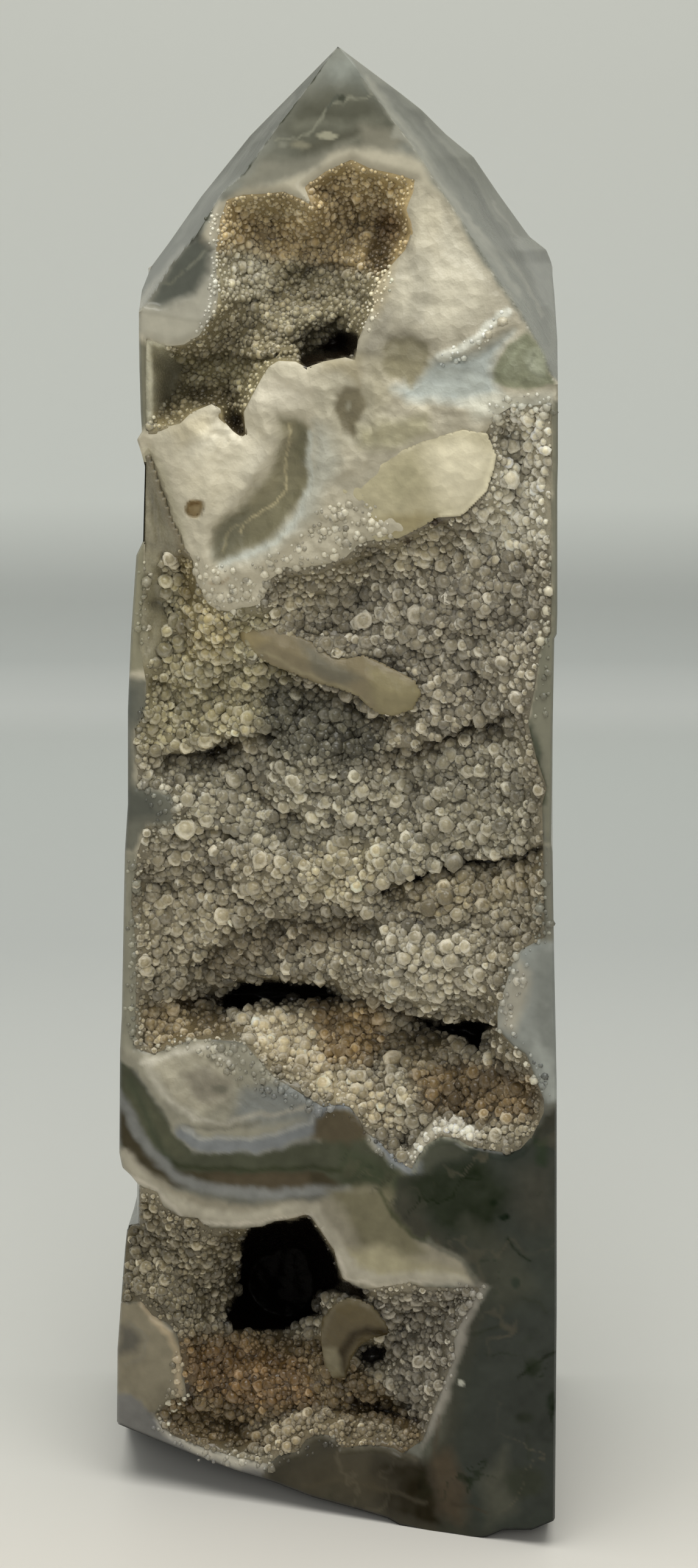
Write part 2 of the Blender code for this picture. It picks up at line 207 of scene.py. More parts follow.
# Zones: where the hollow is bare, where crystals run over a rim, and the outlines of the smooth shells
BARE = (
    ((220, 748), (240, 752), (256, 802), (276, 858), (296, 902), (285, 915), (220, 905)),
    ((215, 905), (262, 905), (272, 1000), (262, 1080), (215, 1100)),
    ((220, 545), (262, 560), (300, 605), (286, 640), (240, 700), (220, 705)),
    ((390, 1036), (456, 1033), (507, 1056), (573, 1097), (665, 1126), (690, 1150), (670, 1170),
         (620, 1172), (573, 1138), (497, 1112), (436, 1076)),
    ((529, 2167), (546, 2146), (593, 2137), (636, 2175), (600, 2206), (579, 2229), (567, 2262),
         (546, 2262), (532, 2241)),
)
MIDDLE_FRINGE = (
    ((712, 588), (760, 562), (800, 528), (826, 506), (840, 520), (814, 550), (772, 588), (726, 606)),
    ((210, 1405), (236, 1400), (234, 1722), (202, 1722)),
    ((226, 920), (250, 920), (246, 1060), (216, 1060)),
    ((890, 900), (910, 900), (910, 1045), (900, 1180), (874, 1180), (884, 1060)),
    ((880, 1390), (908, 1390), (910, 1560), (878, 1556)),
    ((318, 895), (345, 925), (400, 935), (450, 905), (500, 868), (520, 835), (560, 820), (620, 830),
         (655, 880), (600, 897),
     (544, 930), (506, 940), (470, 942), (440, 1002), (404, 1008), (358, 1010), (332, 990), (314, 940)),
    ((800, 664), (830, 650), (912, 640), (912, 680), (842, 690), (815, 720), (800, 700)),
    ((222, 1160), (250, 1160), (240, 1260), (300, 1290), (300, 1370), (240, 1400), (222, 1400),
         (250, 1335), (222, 1290)),
    ((835, 1560), (884, 1556), (866, 1600), (846, 1660), (850, 1700), (890, 1740), (908, 1810),
         (880, 1790), (820, 1720), (806, 1660)),
    ((240, 1722), (300, 1700), (400, 1708), (450, 1764), (520, 1808), (560, 1808), (600, 1850),
         (640, 1894), (684, 1918), (640, 1925), (580, 1846), (500, 1830), (400, 1790), (350, 1745),
              (300, 1728)),
)
POCKET_FRINGE = (
    ((290, 2190), (306, 2230), (312, 2300), (270, 2350), (340, 2376), (440, 2398), (500, 2372),
         (550, 2356), (565, 2375), (500, 2394), (440, 2420), (330, 2402), (246, 2356), (262, 2300)),
    ((745, 2105), (800, 2112), (770, 2165), (752, 2200), (748, 2250), (730, 2310), (712, 2340),
         (735, 2240), (735, 2180)),
)
UPPER_FRINGE = (
    ((334, 350), (372, 336), (370, 400), (366, 470), (354, 520), (336, 550), (318, 552), (340, 490),
         (344, 420)),
    ((612, 446), (650, 420), (648, 470), (628, 500), (618, 530), (596, 560), (592, 520), (606, 484)),
)
FLAP = (
    (540, 799), (581, 779), (642, 748), (700, 722), (760, 706), (800, 712), (815, 748), (810, 776),
         (798, 810),
    (775, 833), (757, 848), (718, 850), (706, 858), (683, 871), (655, 884), (620, 890), (590, 870),
         (560, 840),
)
LOWER_FLAP = (
    (390, 1034), (420, 1027), (452, 1030), (511, 1054), (545, 1078), (570, 1082), (597, 1076), (630, 1090),
         (655, 1104),
    (682, 1118), (692, 1140), (678, 1166), (645, 1176), (622, 1173), (607, 1163), (586, 1143), (550, 1130),
         (519, 1122),
    (480, 1106), (444, 1092), (415, 1076), (397, 1058),
)
EAR = (
    (546, 2144), (570, 2132), (593, 2135), (611, 2144), (634, 2173), (640, 2191), (616, 2198), (593, 2208),
         (579, 2229),
    (572, 2248), (567, 2264), (546, 2264), (532, 2241), (526, 2197), (529, 2167),
)

# Colours, as they look in the studio's light
CREAM, MILK, GREY, SMOKE, DARK = (172, 166, 147), (150, 148, 136), (126, 128, 120), (92, 92, 84), (54, 56, 50)
# the second colour is near black: painted shade on the bevel and the sawn foot under the stone's lifted edge
DRUZY, SHADED_UNDERSIDE = (112, 105, 86), (16, 17, 18)
# The share of its own colour that a surface sends back to the eye, and the gloss that lies over it
STONE_LIGHT, TIP_LIGHT, GLOSS = 0.72, 1.0, 0.012
DARKEST, LIGHTEST = 0.0005, 0.9

# The polished stone's grid: rows and columns of the front, and where the runs around its back have points
ROWS, COLUMNS = 690, 196
BENDS = np.array((0.0, 0.012, 0.035, 0.3, 0.65, 0.965, 0.988))
MIDDLE = np.array((0.0, 2.0 * MM))
GROUND = np.array((0.0, 3.0 * MM, 0.0))
TIP_GAP = 0.15 * MM
# How far from an outline a place is moved onto it, and how wide a strip of polish is left at the stone's
# edges
RIM_STEP, EDGE_STRIP = 2.2, 6
ON_RIM = 0.01
CRUST_STEP = 5.0
LATTICE = 256


def tint(colour):
    """Linear light of a colour given as 0 to 255 per channel."""
    c = np.array(colour, float) / 255
    return np.where(c <= 0.04045, c / 12.92, ((c + 0.055) / 1.055) ** 2.4)


def own_colour(seen, light, gloss=0.0):
    """The colour a surface has of itself, in linear light, from how it looks: less the gloss, over the
    light."""
    return np.clip((seen - gloss) / light, DARKEST, LIGHTEST)


def sight_axes():
    """Unit directions away from the eye, to its right and up."""
    away = (AIM - EYE) / np.linalg.norm(AIM - EYE)
    right = np.cross(away, (0, 0, 1))
    right /= np.linalg.norm(right)
    return away, right, np.cross(right, away)


AWAY, RIGHT, UP = sight_axes()
FOCUS = PIXELS_PER_MM / MM * np.linalg.norm(AIM - EYE)


def sight_lines(places):
    """Unit directions from the eye through an (n, 2) array of picture places."""
    x = (places[:, 0] - PICTURE[0] / 2) / FOCUS
    y = (PICTURE[1] / 2 - places[:, 1]) / FOCUS
    lines = AWAY + x[:, None] * RIGHT + y[:, None] * UP
    return lines / np.linalg.norm(lines, axis=1, keepdims=True)


def on_sight(places, distance):
    """Points at a distance from the eye on the lines of sight through the places."""
    return EYE + sight_lines(places) * distance[:, None]


def flat_front(places):
    """Distance from the eye to the front's two planes, the face below the shoulder and the facet above
    it."""
    lines = sight_lines(places)
    reached = []
    for a, b, c in ((FEET[0], FEET[1], SHOULDERS[1]), (SHOULDERS[0], SHOULDERS[1], APEX)):
        normal = np.cross(b - a, c - a)
        reached.append(np.dot(a - EYE, normal) / (lines @ normal))
    return np.maximum(*reached)


def across(heights, edge):
    """The edge's x at each picture height."""
    edge = np.array(edge, float)
    return np.interp(heights, edge[:, 1], edge[:, 0])


def skin(places):
    """Distance from the eye to the polished stone: the flat front between the ridges, and outside a ridge a
    straight run from it to the stone's outer edge, whose distance follows from how far back it lies. The
    outer edges below the shoulder are rounded by a quarter circle."""
    x, y = places.T
    distance = flat_front(places)
    for edge, ridge, back, side in (
        (LEFT_EDGE, LEFT_RIDGE, LEFT_BACK, 1), (RIGHT_EDGE, RIGHT_RIDGE, RIGHT_BACK, -1)
    ):
        outer, inner = across(y, edge), across(y, ridge)
        heights, deep = np.array(back, float).T
        at_outer = np.column_stack((outer, y))
        at_inner = np.column_stack((inner, y))
        lines = sight_lines(at_outer)
        far = (np.interp(y, heights, deep) * MM - EYE[1]) / lines[:, 1]
        share = np.clip((x - outer) / np.where(abs(inner - outer) < 1, side, inner - outer), 0, 1)
        beyond = (side * (inner - x) > 0) & (y < heights[-1])
        run = far + (flat_front(at_inner) - far) * share
        distance = np.where(beyond, run, distance)
        inward = np.clip(side * (x - outer) / EDGE_PIXELS, 0, 1)
        turned = EDGE_ROUND * (1 - np.sqrt(1 - (1 - inward) ** 2))
        distance += np.where(y > heights[-1], turned, 0)
    return distance


def outline_distance(places, outline, closed=True):
    """Pixels from each place to the outline, positive inside it, and the nearest place on it."""
    a = np.array(outline, float)
    b = np.roll(a, -1, axis=0)
    if not closed:
        a, b = a[:-1], b[:-1]
    along = b - a
    share = np.clip(((places[:, None, :] - a) * along).sum(2) / (along**2).sum(1), 0, 1)
    gap = places[:, None, :] - a - share[..., None] * along
    length = np.sqrt((gap**2).sum(2))
    pick = length.argmin(1)
    row = np.arange(len(places))
    nearest, closest = length[row, pick], places - gap[row, pick]
    if not closed:
        return -nearest, closest
    crosses = (a[:, 1] > places[:, 1:2]) != (b[:, 1] > places[:, 1:2])
    rise = np.where(along[:, 1] == 0, 1e-9, along[:, 1])
    left = places[:, :1] < a[:, 0] + along[:, 0] * (places[:, 1:2] - a[:, 1]) / rise
    return np.where((crosses & left).sum(1) % 2 == 1, nearest, -nearest), closest


def noise(places, size, seed, octaves=3):
    """Smooth random heights from about -1 to 1: random values on a square lattice of that size in pixels,
    blended between its corners, and added up over octaves that halve the lattice and the height."""
    total = np.zeros(len(places))
    for octave in range(octaves):
        place = places * 2**octave / size
        cell = np.floor(place).astype(int)
        part = place - cell
        part = part * part * (3 - 2 * part)
        values = np.random.default_rng(seed + octave).uniform(-1, 1, (LATTICE, LATTICE))
        a, b, c, d = (
            values[(cell[:, 0] + i) % LATTICE, (cell[:, 1] + j) % LATTICE]
            for i, j in ((0, 0), (1, 0), (0, 1), (1, 1))
        )
        upper = a + (b - a) * part[:, 0]
        lower = c + (d - c) * part[:, 0]
        total += (upper + (lower - upper) * part[:, 1]) / 2**octave
    return total / 1.4


def warp(places, amount, size, seed):
    """Moves the places by smooth noise, so that edges laid out straight wander."""
    return places + amount * np.column_stack((noise(places, size, seed), noise(places, size, seed + 50)))


def domes(places, size, seed):
    """Rounded masses pressed together, 0 to 1 high: over each place stands the tallest of the domes whose
    middles lie on a jittered lattice of that size, so that the masses meet in sharp valleys."""
    cells = np.floor(places / size).astype(int)
    rng = np.random.default_rng(seed)
    jitter, tall = rng.uniform(0.05, 0.95, (LATTICE, LATTICE, 2)), rng.uniform(0.45, 1, (LATTICE, LATTICE))
    height = np.zeros(len(places))
    for dx in (-1, 0, 1):
        for dy in (-1, 0, 1):
            i, j = (cells + (dx, dy)).T
            middles = np.column_stack((i, j)) + jitter[i % LATTICE, j % LATTICE]
            away = (places - middles * size) / size
            high = tall[i % LATTICE, j % LATTICE] * np.sqrt(np.clip(1 - (away**2).sum(1) / 0.9, 0, 1))
            height = np.maximum(height, high)
    return height


def clusters(places, hollow):
    """The clusters of crystals in a hollow, as domes from 0 to 1 high."""
    return domes(warp(places, 10, 40, 14), hollow["lumps"], 15)


def well_depth(places):
    """How deep the polished stone is cut away behind the crystals: less towards the thin tip."""
    return np.interp(places[:, 1], (260, 600), (6.5, 13)) * MM


def bowl_depth(places, hollow):
    """Depth of the crystals below the front: a bowl from the rim, with wells, ledges that overhang a gap,
    and swells where the clusters of crystals stand."""
    inside = np.clip(outline_distance(places, hollow["outline"])[0], 0, None)
    depth = hollow["depth"] * (1 - np.exp(-inside / hollow["slope"]))
    for x, y, wide, high, deeper in hollow["wells"]:
        bell = np.exp(-(((places[:, 0] - x) / wide) ** 2) - ((places[:, 1] - y) / high) ** 2)
        depth += deeper * MM * bell
    ragged = warp(places, 6, 26, 7)
    for lip, gap, reach in hollow["ledges"]:
        lip = np.array(lip, float)
        below = ragged[:, 1] - np.interp(ragged[:, 0], lip[:, 0], lip[:, 1])
        ends = np.minimum(ragged[:, 0] - lip[0, 0], lip[-1, 0] - ragged[:, 0])
        there = np.clip(ends / 20 + 1, 0, 1) * (below > 0)
        depth += gap * MM * there * np.exp(-np.clip(below, 0, None) / reach)
    depth += noise(places, 90, 11) * 0.5 * MM
    knobs = domes(warp(places, 10, 40, 14), 30, 16)
    depth += (0.55 - clusters(places, hollow)) * 1.6 * MM + (0.5 - knobs) * 0.7 * MM
    depth *= 1 - np.exp(-inside / 14)
    return np.clip(RIM_DEPTH + np.clip(depth, 0, None), 0, well_depth(places) - 1.4 * MM)


def paint(places, tone, marks, ragged=5.0, read=tint):
    """Lays each mark over the tone in turn. A mark's share falls from its strength to nothing across its
    softness. Each is written as its kind, colour, softness in pixels and strength, then a patch's outline,
    a line's width and places, or a spot's middle and its half width and half height."""
    wandering = warp(warp(places, ragged, 30, 21), ragged * 0.4, 9, 31)
    for kind, colour, soft, strength, *shape in marks:
        points = np.array(shape[-1], float)
        reach = soft + (shape[0] if kind == "line" else 0) + 4 * ragged
        if kind == "spot":
            x, y, wide, high = points
            near = (abs(wandering[:, 0] - x) < wide + reach) & (abs(wandering[:, 1] - y) < high + reach)
            at = (wandering[near] - (x, y)) / (wide, high)
            depth = (1 - np.sqrt((at**2).sum(1))) * min(wide, high)
        else:
            low, high = points.min(0) - reach, points.max(0) + reach
            near = ((wandering > low) & (wandering < high)).all(1)
            if not near.any():
                continue
            depth = outline_distance(wandering[near], points, kind == "patch")[0]
            if kind == "line":
                depth += shape[0] / 2
        share = strength * np.clip(depth / soft + 0.5, 0, 1)[:, None]
        share = share * share * (3 - 2 * share) if strength == 1 else share
        tone[near] += (read(colour) - tone[near]) * share
    return tone


def zone(places, soft, *outlines):
    """How far each place belongs to any of the outlines, from 0 to 1, across the softness in pixels."""
    marks = [("patch", 1.0, soft, 1, outline) for outline in outlines]
    return paint(places, np.zeros((len(places), 1)), marks, read=float)


WEB = (
    (685, 290), (740, 345), (800, 440), (850, 515), (880, 562), (915, 650), (815, 760), (800, 830),
         (720, 860), (600, 900),
    (430, 1010), (330, 1000), (280, 880), (200, 730), (240, 700), (300, 690), (360, 660), (400, 710),
         (400, 670),
    (440, 590), (590, 600), (600, 480), (660, 400), (655, 340),
)
EYES = (
    ((629, 574), (642, 559), (673, 553), (703, 569), (707, 584), (703, 599), (685, 617), (674, 636),
         (662, 622), (642, 622), (632, 610)),
    ((550, 650), (565, 638), (588, 638), (601, 655), (604, 673), (591, 694), (581, 717), (565, 709),
         (548, 678)),
    ((460, 689), (500, 691), (511, 702), (509, 731), (504, 764), (506, 797), (496, 817), (475, 845),
         (458, 868), (452, 879),
     (435, 889), (409, 900), (363, 919), (353, 904), (358, 873), (379, 843), (417, 815), (442, 784),
          (458, 751), (470, 713)),
)
# Relief of the front, written like the marks, with a depth in millimetres in place of a colour
RELIEF = (
    ("patch", -0.15, 40, 1, ((600, 480), (690, 380), (820, 470), (840, 540), (740, 560), (640, 540),
         (590, 600))),
    ("line", -0.5, 34, 1, 24, ((300, 700), (335, 720), (345, 790), (330, 880), (350, 950))),
    ("line", -0.45, 30, 1, 20, ((430, 660), (440, 740), (400, 800), (350, 860))),
    ("line", -0.35, 26, 1, 16, ((470, 620), (530, 640), (540, 720), (530, 800), (470, 890), (400, 940))),
    ("line", -0.35, 24, 1, 14, ((610, 630), (620, 690), (600, 740), (560, 780))),
    ("patch", 0.9, 44, 1, EYES[2]),
    ("patch", 0.45, 30, 1, EYES[1]),
    ("patch", 0.5, 28, 1, EYES[0]),
    ("patch", 0.45, 34, 1, ((683, 625), (706, 599), (785, 579), (821, 556), (841, 546), (813, 584),
         (821, 648), (770, 663), (667, 655))),
    ("line", -0.2, 16, 1, 12, ((722, 590), (759, 572), (785, 556), (800, 535), (818, 516), (832, 512))),
    ("patch", 0.9, 40, 1, ((200, 690), (250, 735), (290, 850), (305, 930), (270, 920), (200, 760))),
    ("spot", 0.9, 8, 1, (321, 838, 14, 14)),
    ("patch", 0.5, 14, 1, ((322, 380), (347, 413), (340, 451), (322, 480), (296, 492), (258, 502),
         (225, 497), (285, 425))),
)
SUGAR = (
    ((640, 640), (720, 660), (830, 660), (916, 640), (916, 670), (815, 690), (800, 712), (700, 722),
         (642, 748), (581, 779), (540, 799), (560, 740)),
    ((505, 850), (545, 800), (600, 800), (660, 850), (655, 884), (600, 889), (544, 930), (470, 940),
         (440, 1000), (340, 1000), (325, 940), (420, 920)),
    ((715, 585), (800, 530), (840, 505), (840, 540), (760, 600), (720, 610)),
    ((300, 700), (360, 664), (400, 720), (380, 760), (320, 740)),
    ((236, 1738), (330, 1708), (400, 1712), (450, 1768), (520, 1812), (560, 1812), (600, 1845),
         (650, 1905), (600, 1880), (556, 1824),
     (500, 1822), (430, 1832), (370, 1846), (310, 1850), (268, 1800)),
)


def stone_relief(places):
    """Depth of the front's surface below the polish, in metres, and how sugary it is, from 0 to 1. The web
    swells and sinks, its rims along the hollows are rounded over, and its sugary parts stand up in small
    domes."""
    web = zone(places, 20, WEB)[:, 0]
    sugar = zone(places, 24, *SUGAR)[:, 0]
    depth = paint(places, np.zeros((len(places), 1)), RELIEF, read=float)[:, 0]
    depth += web * (0.22 * noise(places, 46, 33, 3) + 0.1)
    depth += sugar * (0.2 - 0.42 * domes(places, 17, 34) - 0.1 * noise(places, 9, 35, 1))
    for hollow in HOLLOWS.values():
        outside = np.clip(-outline_distance(places, hollow["outline"])[0], 0, None)
        depth += 0.4 * np.clip(1 - outside / 17, 0, 1) ** 2
    return depth * MM, np.clip(web + sugar, 0, 1)


STONE_MARKS = (
    # the tip: grey facet, its light cloud, its dark lower band, and the white band above the crystals
    ("patch", (129, 130, 120), 10, 1, ((555, 60), (700, 250), (905, 600), (700, 470), (690, 300),
         (580, 280), (430, 320), (360, 330), (300, 430), (235, 500), (220, 480), (330, 300))),
    ("spot", (142, 146, 138), 40, 0.8, (566, 118, 44, 34)),
    ("patch", (112, 115, 107), 16, 0.8, ((575, 115), (600, 122), (650, 195), (600, 165), (560, 160))),
    ("patch", (106, 106, 94), 16, 0.8, ((450, 232), (485, 228), (530, 190), (545, 170), (600, 160),
         (650, 200), (650, 230), (560, 250), (480, 270), (420, 268))),
    ("patch", (95, 95, 83), 60, 1, ((470, 176), (530, 138), (600, 145), (664, 200), (640, 236), (560, 268),
         (490, 262), (450, 220))),
    ("line", (84, 84, 72), 26, 0.8, 14, ((500, 178), (540, 186), (600, 186))),
    ("line", (122, 122, 108), 20, 0.7, 10, ((486, 206), (530, 200), (580, 206), (620, 196))),
    ("line", (82, 80, 68), 22, 0.8, 10, ((500, 244), (540, 232), (585, 214))),
    ("patch", (132, 130, 116), 18, 0.9, ((395, 300), (430, 262), (500, 262), (540, 246), (590, 225),
         (560, 260), (500, 290), (440, 300), (400, 315))),
    ("patch", (132, 129, 114), 16, 0.8, ((590, 205), (640, 210), (664, 232), (640, 250), (600, 240))),
    ("patch", (180, 174, 154), 20, 1, ((350, 345), (400, 310), (460, 296), (505, 286), (545, 255),
         (600, 240), (650, 250), (690, 262), (740, 340), (700, 330), (690, 300), (640, 300), (575, 275),
              (520, 300), (505, 335), (430, 325), (380, 335))),
    ("patch", (152, 151, 138), 8, 0.9, ((652, 196), (668, 214), (706, 262), (690, 262), (662, 232),
         (640, 224))),
    ("line", (134, 134, 118), 4, 0.9, 3, ((450, 232), (485, 228), (515, 212), (530, 190), (545, 172),
         (575, 162), (600, 160), (612, 150))),
    ("spot", (150, 148, 128), 4, 1, (535, 222, 18, 6)),
    ("spot", (134, 131, 112), 5, 0.8, (490, 238, 14, 6)),
    ("spot", (134, 134, 120), 5, 0.7, (462, 240, 8, 4)),
    ("line", (88, 90, 80), 4, 1, 5, ((556, 158), (548, 168), (541, 178))),
    ("spot", (70, 72, 62), 4, 1, (562, 162, 6, 5)),
    # the right facet: lighter beside the ridge, darker outside, streaked, and a painted highlight along the
    # ridge
    ("patch", (120, 121, 110), 3, 1, ((555, 70), (654, 145), (777, 250), (830, 310), (870, 380),
         (930, 420), (940, 660), (905, 615), (879, 558), (846, 500), (795, 423), (761, 368), (691, 261),
              (635, 183), (584, 111))),
    ("patch", (95, 96, 87), 14, 0.9, ((620, 140), (700, 215), (760, 300), (850, 450), (900, 560),
         (905, 480), (840, 380), (770, 290), (700, 195), (640, 145))),
    # painted highlight along the polished right ridge
    ("line", (154, 153, 139), 12, 0.8, 9, ((600, 130), (655, 200), (720, 292), (790, 395), (850, 480))),
    ("line", (154, 152, 138), 8, 0.7, 5, ((690, 262), (740, 325), (800, 395), (850, 440), (890, 520))),
    ("line", (142, 142, 130), 6, 0.6, 3, ((700, 200), (760, 270), (812, 345), (860, 420), (898, 500))),
    ("line", (98, 100, 90), 8, 0.7, 6, ((650, 172), (700, 234), (760, 318), (815, 404), (868, 494),
         (896, 564))),
    ("line", (164, 162, 150), 5, 0.6, 3, ((812, 334), (850, 392), (880, 442))),
    ("patch", (136, 137, 129), 14, 0.8, ((850, 395), (905, 420), (915, 520), (890, 500))),
    # the left facet, a pale sliver
    ("patch", (70, 72, 61), 3, 1, ((555, 60), (534, 103), (498, 154), (462, 200), (437, 236), (399, 287),
         (363, 318), (322, 385), (284, 431), (245, 492), (215, 520), (200, 430), (320, 280))),
    ("line", (120, 121, 111), 10, 0.7, 6, ((480, 160), (420, 230), (350, 312), (290, 395))),
    # cream web and the white ground right of the upper hollow, with painted highlights where the web swells
    # forward at its left
    ("patch", (172, 166, 147), 10, 1, WEB),
    ("patch", (197, 190, 167), 30, 0.8, ((690, 300), (740, 350), (760, 400), (720, 420), (685, 400),
         (672, 350))),
    ("patch", (204, 198, 177), 30, 0.9, ((690, 420), (770, 430), (800, 490), (740, 540), (660, 520),
         (640, 470))),
    ("patch", (200, 195, 176), 22, 0.7, ((730, 360), (790, 440), (800, 470), (760, 440), (720, 400))),
    ("patch", (177, 163, 130), 18, 0.6, ((612, 440), (650, 430), (640, 480), (620, 520), (600, 500))),
    ("patch", (171, 178, 173), 22, 0.9, ((683, 625), (706, 599), (724, 592), (785, 579), (821, 556),
         (841, 546), (813, 584), (810, 610), (821, 648), (770, 663), (667, 655), (642, 638))),
    ("patch", (128, 130, 108), 9, 1, ((866, 543), (836, 569), (815, 599), (812, 610), (814, 630),
         (846, 637), (908, 632), (897, 592), (879, 558))),
    ("line", (150, 154, 130), 6, 0.6, 4, ((866, 560), (840, 592), (828, 612))),
    ("patch", (160, 163, 142), 8, 0.8, ((864, 574), (884, 570), (902, 600), (890, 616), (868, 604))),
    ("line", (112, 114, 97), 6, 0.6, 4, ((882, 575), (866, 605), (900, 622))),
    ("line", (212, 212, 198), 6, 0.95, 15, ((722, 590), (759, 572), (785, 556), (800, 535), (818, 516),
         (832, 512))),
    ("patch", (140, 134, 111), 14, 1, EYES[0]),
    ("patch", (140, 134, 110), 14, 0.7, ((648, 566), (690, 570), (690, 598), (660, 604), (640, 596))),
    ("patch", (166, 161, 142), 28, 0.8, ((520, 640), (560, 612), (620, 640), (640, 690), (600, 735),
         (560, 740), (530, 700))),
    ("patch", (112, 106, 87), 12, 1, EYES[1]),
    ("spot", (150, 148, 132), 5, 0.7, (572, 668, 4, 7)),
    ("patch", (164, 164, 152), 24, 0.8, ((520, 690), (548, 720), (560, 760), (510, 850), (450, 905),
         (380, 930), (350, 910), (440, 880), (490, 830), (510, 760))),
    ("patch", (114, 110, 89), 18, 1, EYES[2]),
    ("line", (178, 181, 172), 8, 0.8, 9, ((511, 712), (507, 764), (507, 802), (482, 856), (456, 888),
         (410, 908), (365, 926))),
    ("patch", (104, 102, 86), 24, 0.8, ((372, 850), (410, 835), (400, 880), (380, 912), (352, 912),
         (356, 876))),
    ("patch", (134, 128, 104), 22, 0.8, ((462, 700), (480, 700), (466, 770), (440, 820), (410, 830),
         (450, 770))),
    ("patch", (98, 96, 78), 14, 0.8, ((492, 700), (508, 706), (500, 760), (490, 740))),
    ("line", (172, 162, 130), 3, 0.8, 3, ((478, 700), (473, 731), (468, 771), (468, 802), (450, 830),
         (424, 845), (404, 858), (396, 879))),
    ("line", (156, 148, 118), 4, 0.6, 3, ((398, 860), (378, 872), (368, 905))),
    # painted highlight on the web's swell
    ("spot", (216, 211, 193), 30, 0.9, (366, 746, 56, 40)),
    ("spot", (198, 192, 174), 26, 0.8, (450, 648, 50, 24)),
    ("patch", (146, 138, 114), 16, 0.8, ((530, 592), (590, 584), (590, 640), (560, 612), (530, 610))),
    ("patch", (154, 149, 122), 20, 0.8, ((590, 706), (700, 676), (710, 712), (640, 740), (590, 735))),
    ("patch", (194, 193, 178), 22, 0.9, ((760, 655), (905, 646), (905, 672), (780, 690))),
    # painted highlight over the left swell of the web
    ("patch", (194, 187, 165), 34, 0.7, ((300, 740), (360, 720), (420, 720), (400, 780), (350, 830),
         (310, 800))),
    ("patch", (162, 157, 136), 12, 0.9, ((234, 735), (258, 742), (276, 790), (302, 850), (306, 900),
         (285, 880), (250, 800))),
    ("patch", (150, 144, 122), 26, 0.7, ((600, 590), (628, 580), (640, 640), (620, 700), (604, 660))),
    ("spot", (156, 140, 108), 6, 1, (321, 836, 13, 16)),
    # painted shade under the upper rim of the small pit
    ("spot", (104, 84, 56), 6, 0.8, (321, 826, 12, 5)),
    ("line", (120, 98, 66), 5, 0.6, 4, ((344, 955), (365, 962), (378, 950))),
    ("patch", (185, 176, 150), 20, 0.7, ((270, 700), (340, 680), (350, 710), (300, 730))),
    # upper left lobe with its dark eye
    ("patch", (157, 154, 140), 12, 1, ((300, 405), (356, 395), (360, 482), (347, 523), (327, 551),
         (302, 568), (276, 571), (240, 557), (222, 543), (224, 500), (260, 450))),
    ("patch", (88, 90, 82), 26, 1, ((322, 380), (347, 413), (340, 451), (322, 480), (296, 492), (258, 502),
         (240, 497), (285, 425))),
    ("line", (126, 126, 112), 4, 0.8, 3, ((345, 405), (330, 425), (307, 444))),
    ("line", (114, 114, 100), 4, 0.7, 4, ((299, 449), (284, 462), (271, 464))),
    ("patch", (98, 97, 83), 12, 0.9, ((224, 556), (250, 570), (252, 700), (224, 700))),
    ("line", (112, 110, 95), 10, 0.7, 5, ((236, 560), (240, 620), (238, 700))),
    # left edge strip and right edge strip beside the middle hollow
    ("patch", (127, 124, 105), 12, 1, ((200, 730), (240, 752), (256, 802), (240, 900), (240, 1100),
         (180, 1100), (190, 740))),
    ("patch", (98, 98, 88), 16, 1, ((180, 1100), (240, 1118), (242, 1172), (224, 1200), (224, 1290),
         (285, 1300), (285, 1356), (240, 1360), (224, 1400), (180, 1400))),
    ("patch", (80, 83, 78), 24, 0.8, ((190, 1130), (220, 1135), (222, 1180), (190, 1190))),
    ("patch", (74, 76, 70), 20, 0.8, ((190, 1290), (250, 1305), (262, 1340), (190, 1350))),
    ("patch", (120, 118, 104), 12, 1, ((180, 1400), (228, 1400), (226, 1722), (180, 1722))),
    ("patch", (112, 111, 97), 10, 1, ((905, 660), (930, 660), (930, 1390), (886, 1390), (866, 1190),
         (888, 1050), (902, 1030))),
    ("patch", (66, 70, 58), 8, 0.95, ((867, 1180), (876, 1190), (888, 1243), (900, 1290), (898, 1320),
         (890, 1321), (876, 1250))),
    ("patch", (102, 103, 96), 10, 0.9, ((843, 1355), (893, 1340), (893, 1384), (850, 1388))),
    ("patch", (109, 108, 97), 10, 1, ((888, 1390), (930, 1390), (930, 1560), (850, 1560))),
    ("patch", (130, 133, 128), 14, 1, ((930, 1540), (850, 1560), (838, 1590), (815, 1661), (815, 1692),
         (845, 1722), (866, 1735), (895, 1810), (930, 1800))),
    ("patch", (150, 146, 133), 18, 0.9, ((850, 1575), (872, 1600), (862, 1650), (842, 1700), (822, 1690),
         (822, 1640))),
    ("patch", (111, 114, 109), 18, 0.7, ((880, 1560), (925, 1560), (925, 1780), (900, 1740), (876, 1680))),
    # white and lilac band below the middle hollow, with a painted highlight along the top of its white lobe
    ("patch", (128, 125, 111), 12, 1, ((180, 1715), (222, 1722), (251, 1732), (314, 1708), (351, 1708),
         (400, 1713), (450, 1768), (520, 1812), (555, 1810), (590, 1835), (645, 1900), (690, 1930),
              (560, 1960), (520, 1870), (434, 1893), (330, 1897), (292, 1880), (271, 1838), (225, 1762),
                   (190, 1745))),
    ("patch", (154, 149, 132), 26, 1, ((235, 1735), (331, 1710), (360, 1740), (385, 1760), (370, 1800),
         (330, 1830), (290, 1815), (260, 1780))),
    ("line", (170, 166, 152), 12, 0.9, 10, ((240, 1742), (262, 1790), (285, 1815), (318, 1832))),
    # painted highlight along the top of the white lobe
    ("line", (186, 182, 168), 9, 0.8, 8, ((232, 1744), (262, 1738), (300, 1727), (340, 1721), (376, 1740))),
    ("patch", (122, 117, 104), 14, 0.8, ((300, 1765), (340, 1752), (384, 1772), (372, 1808), (330, 1812))),
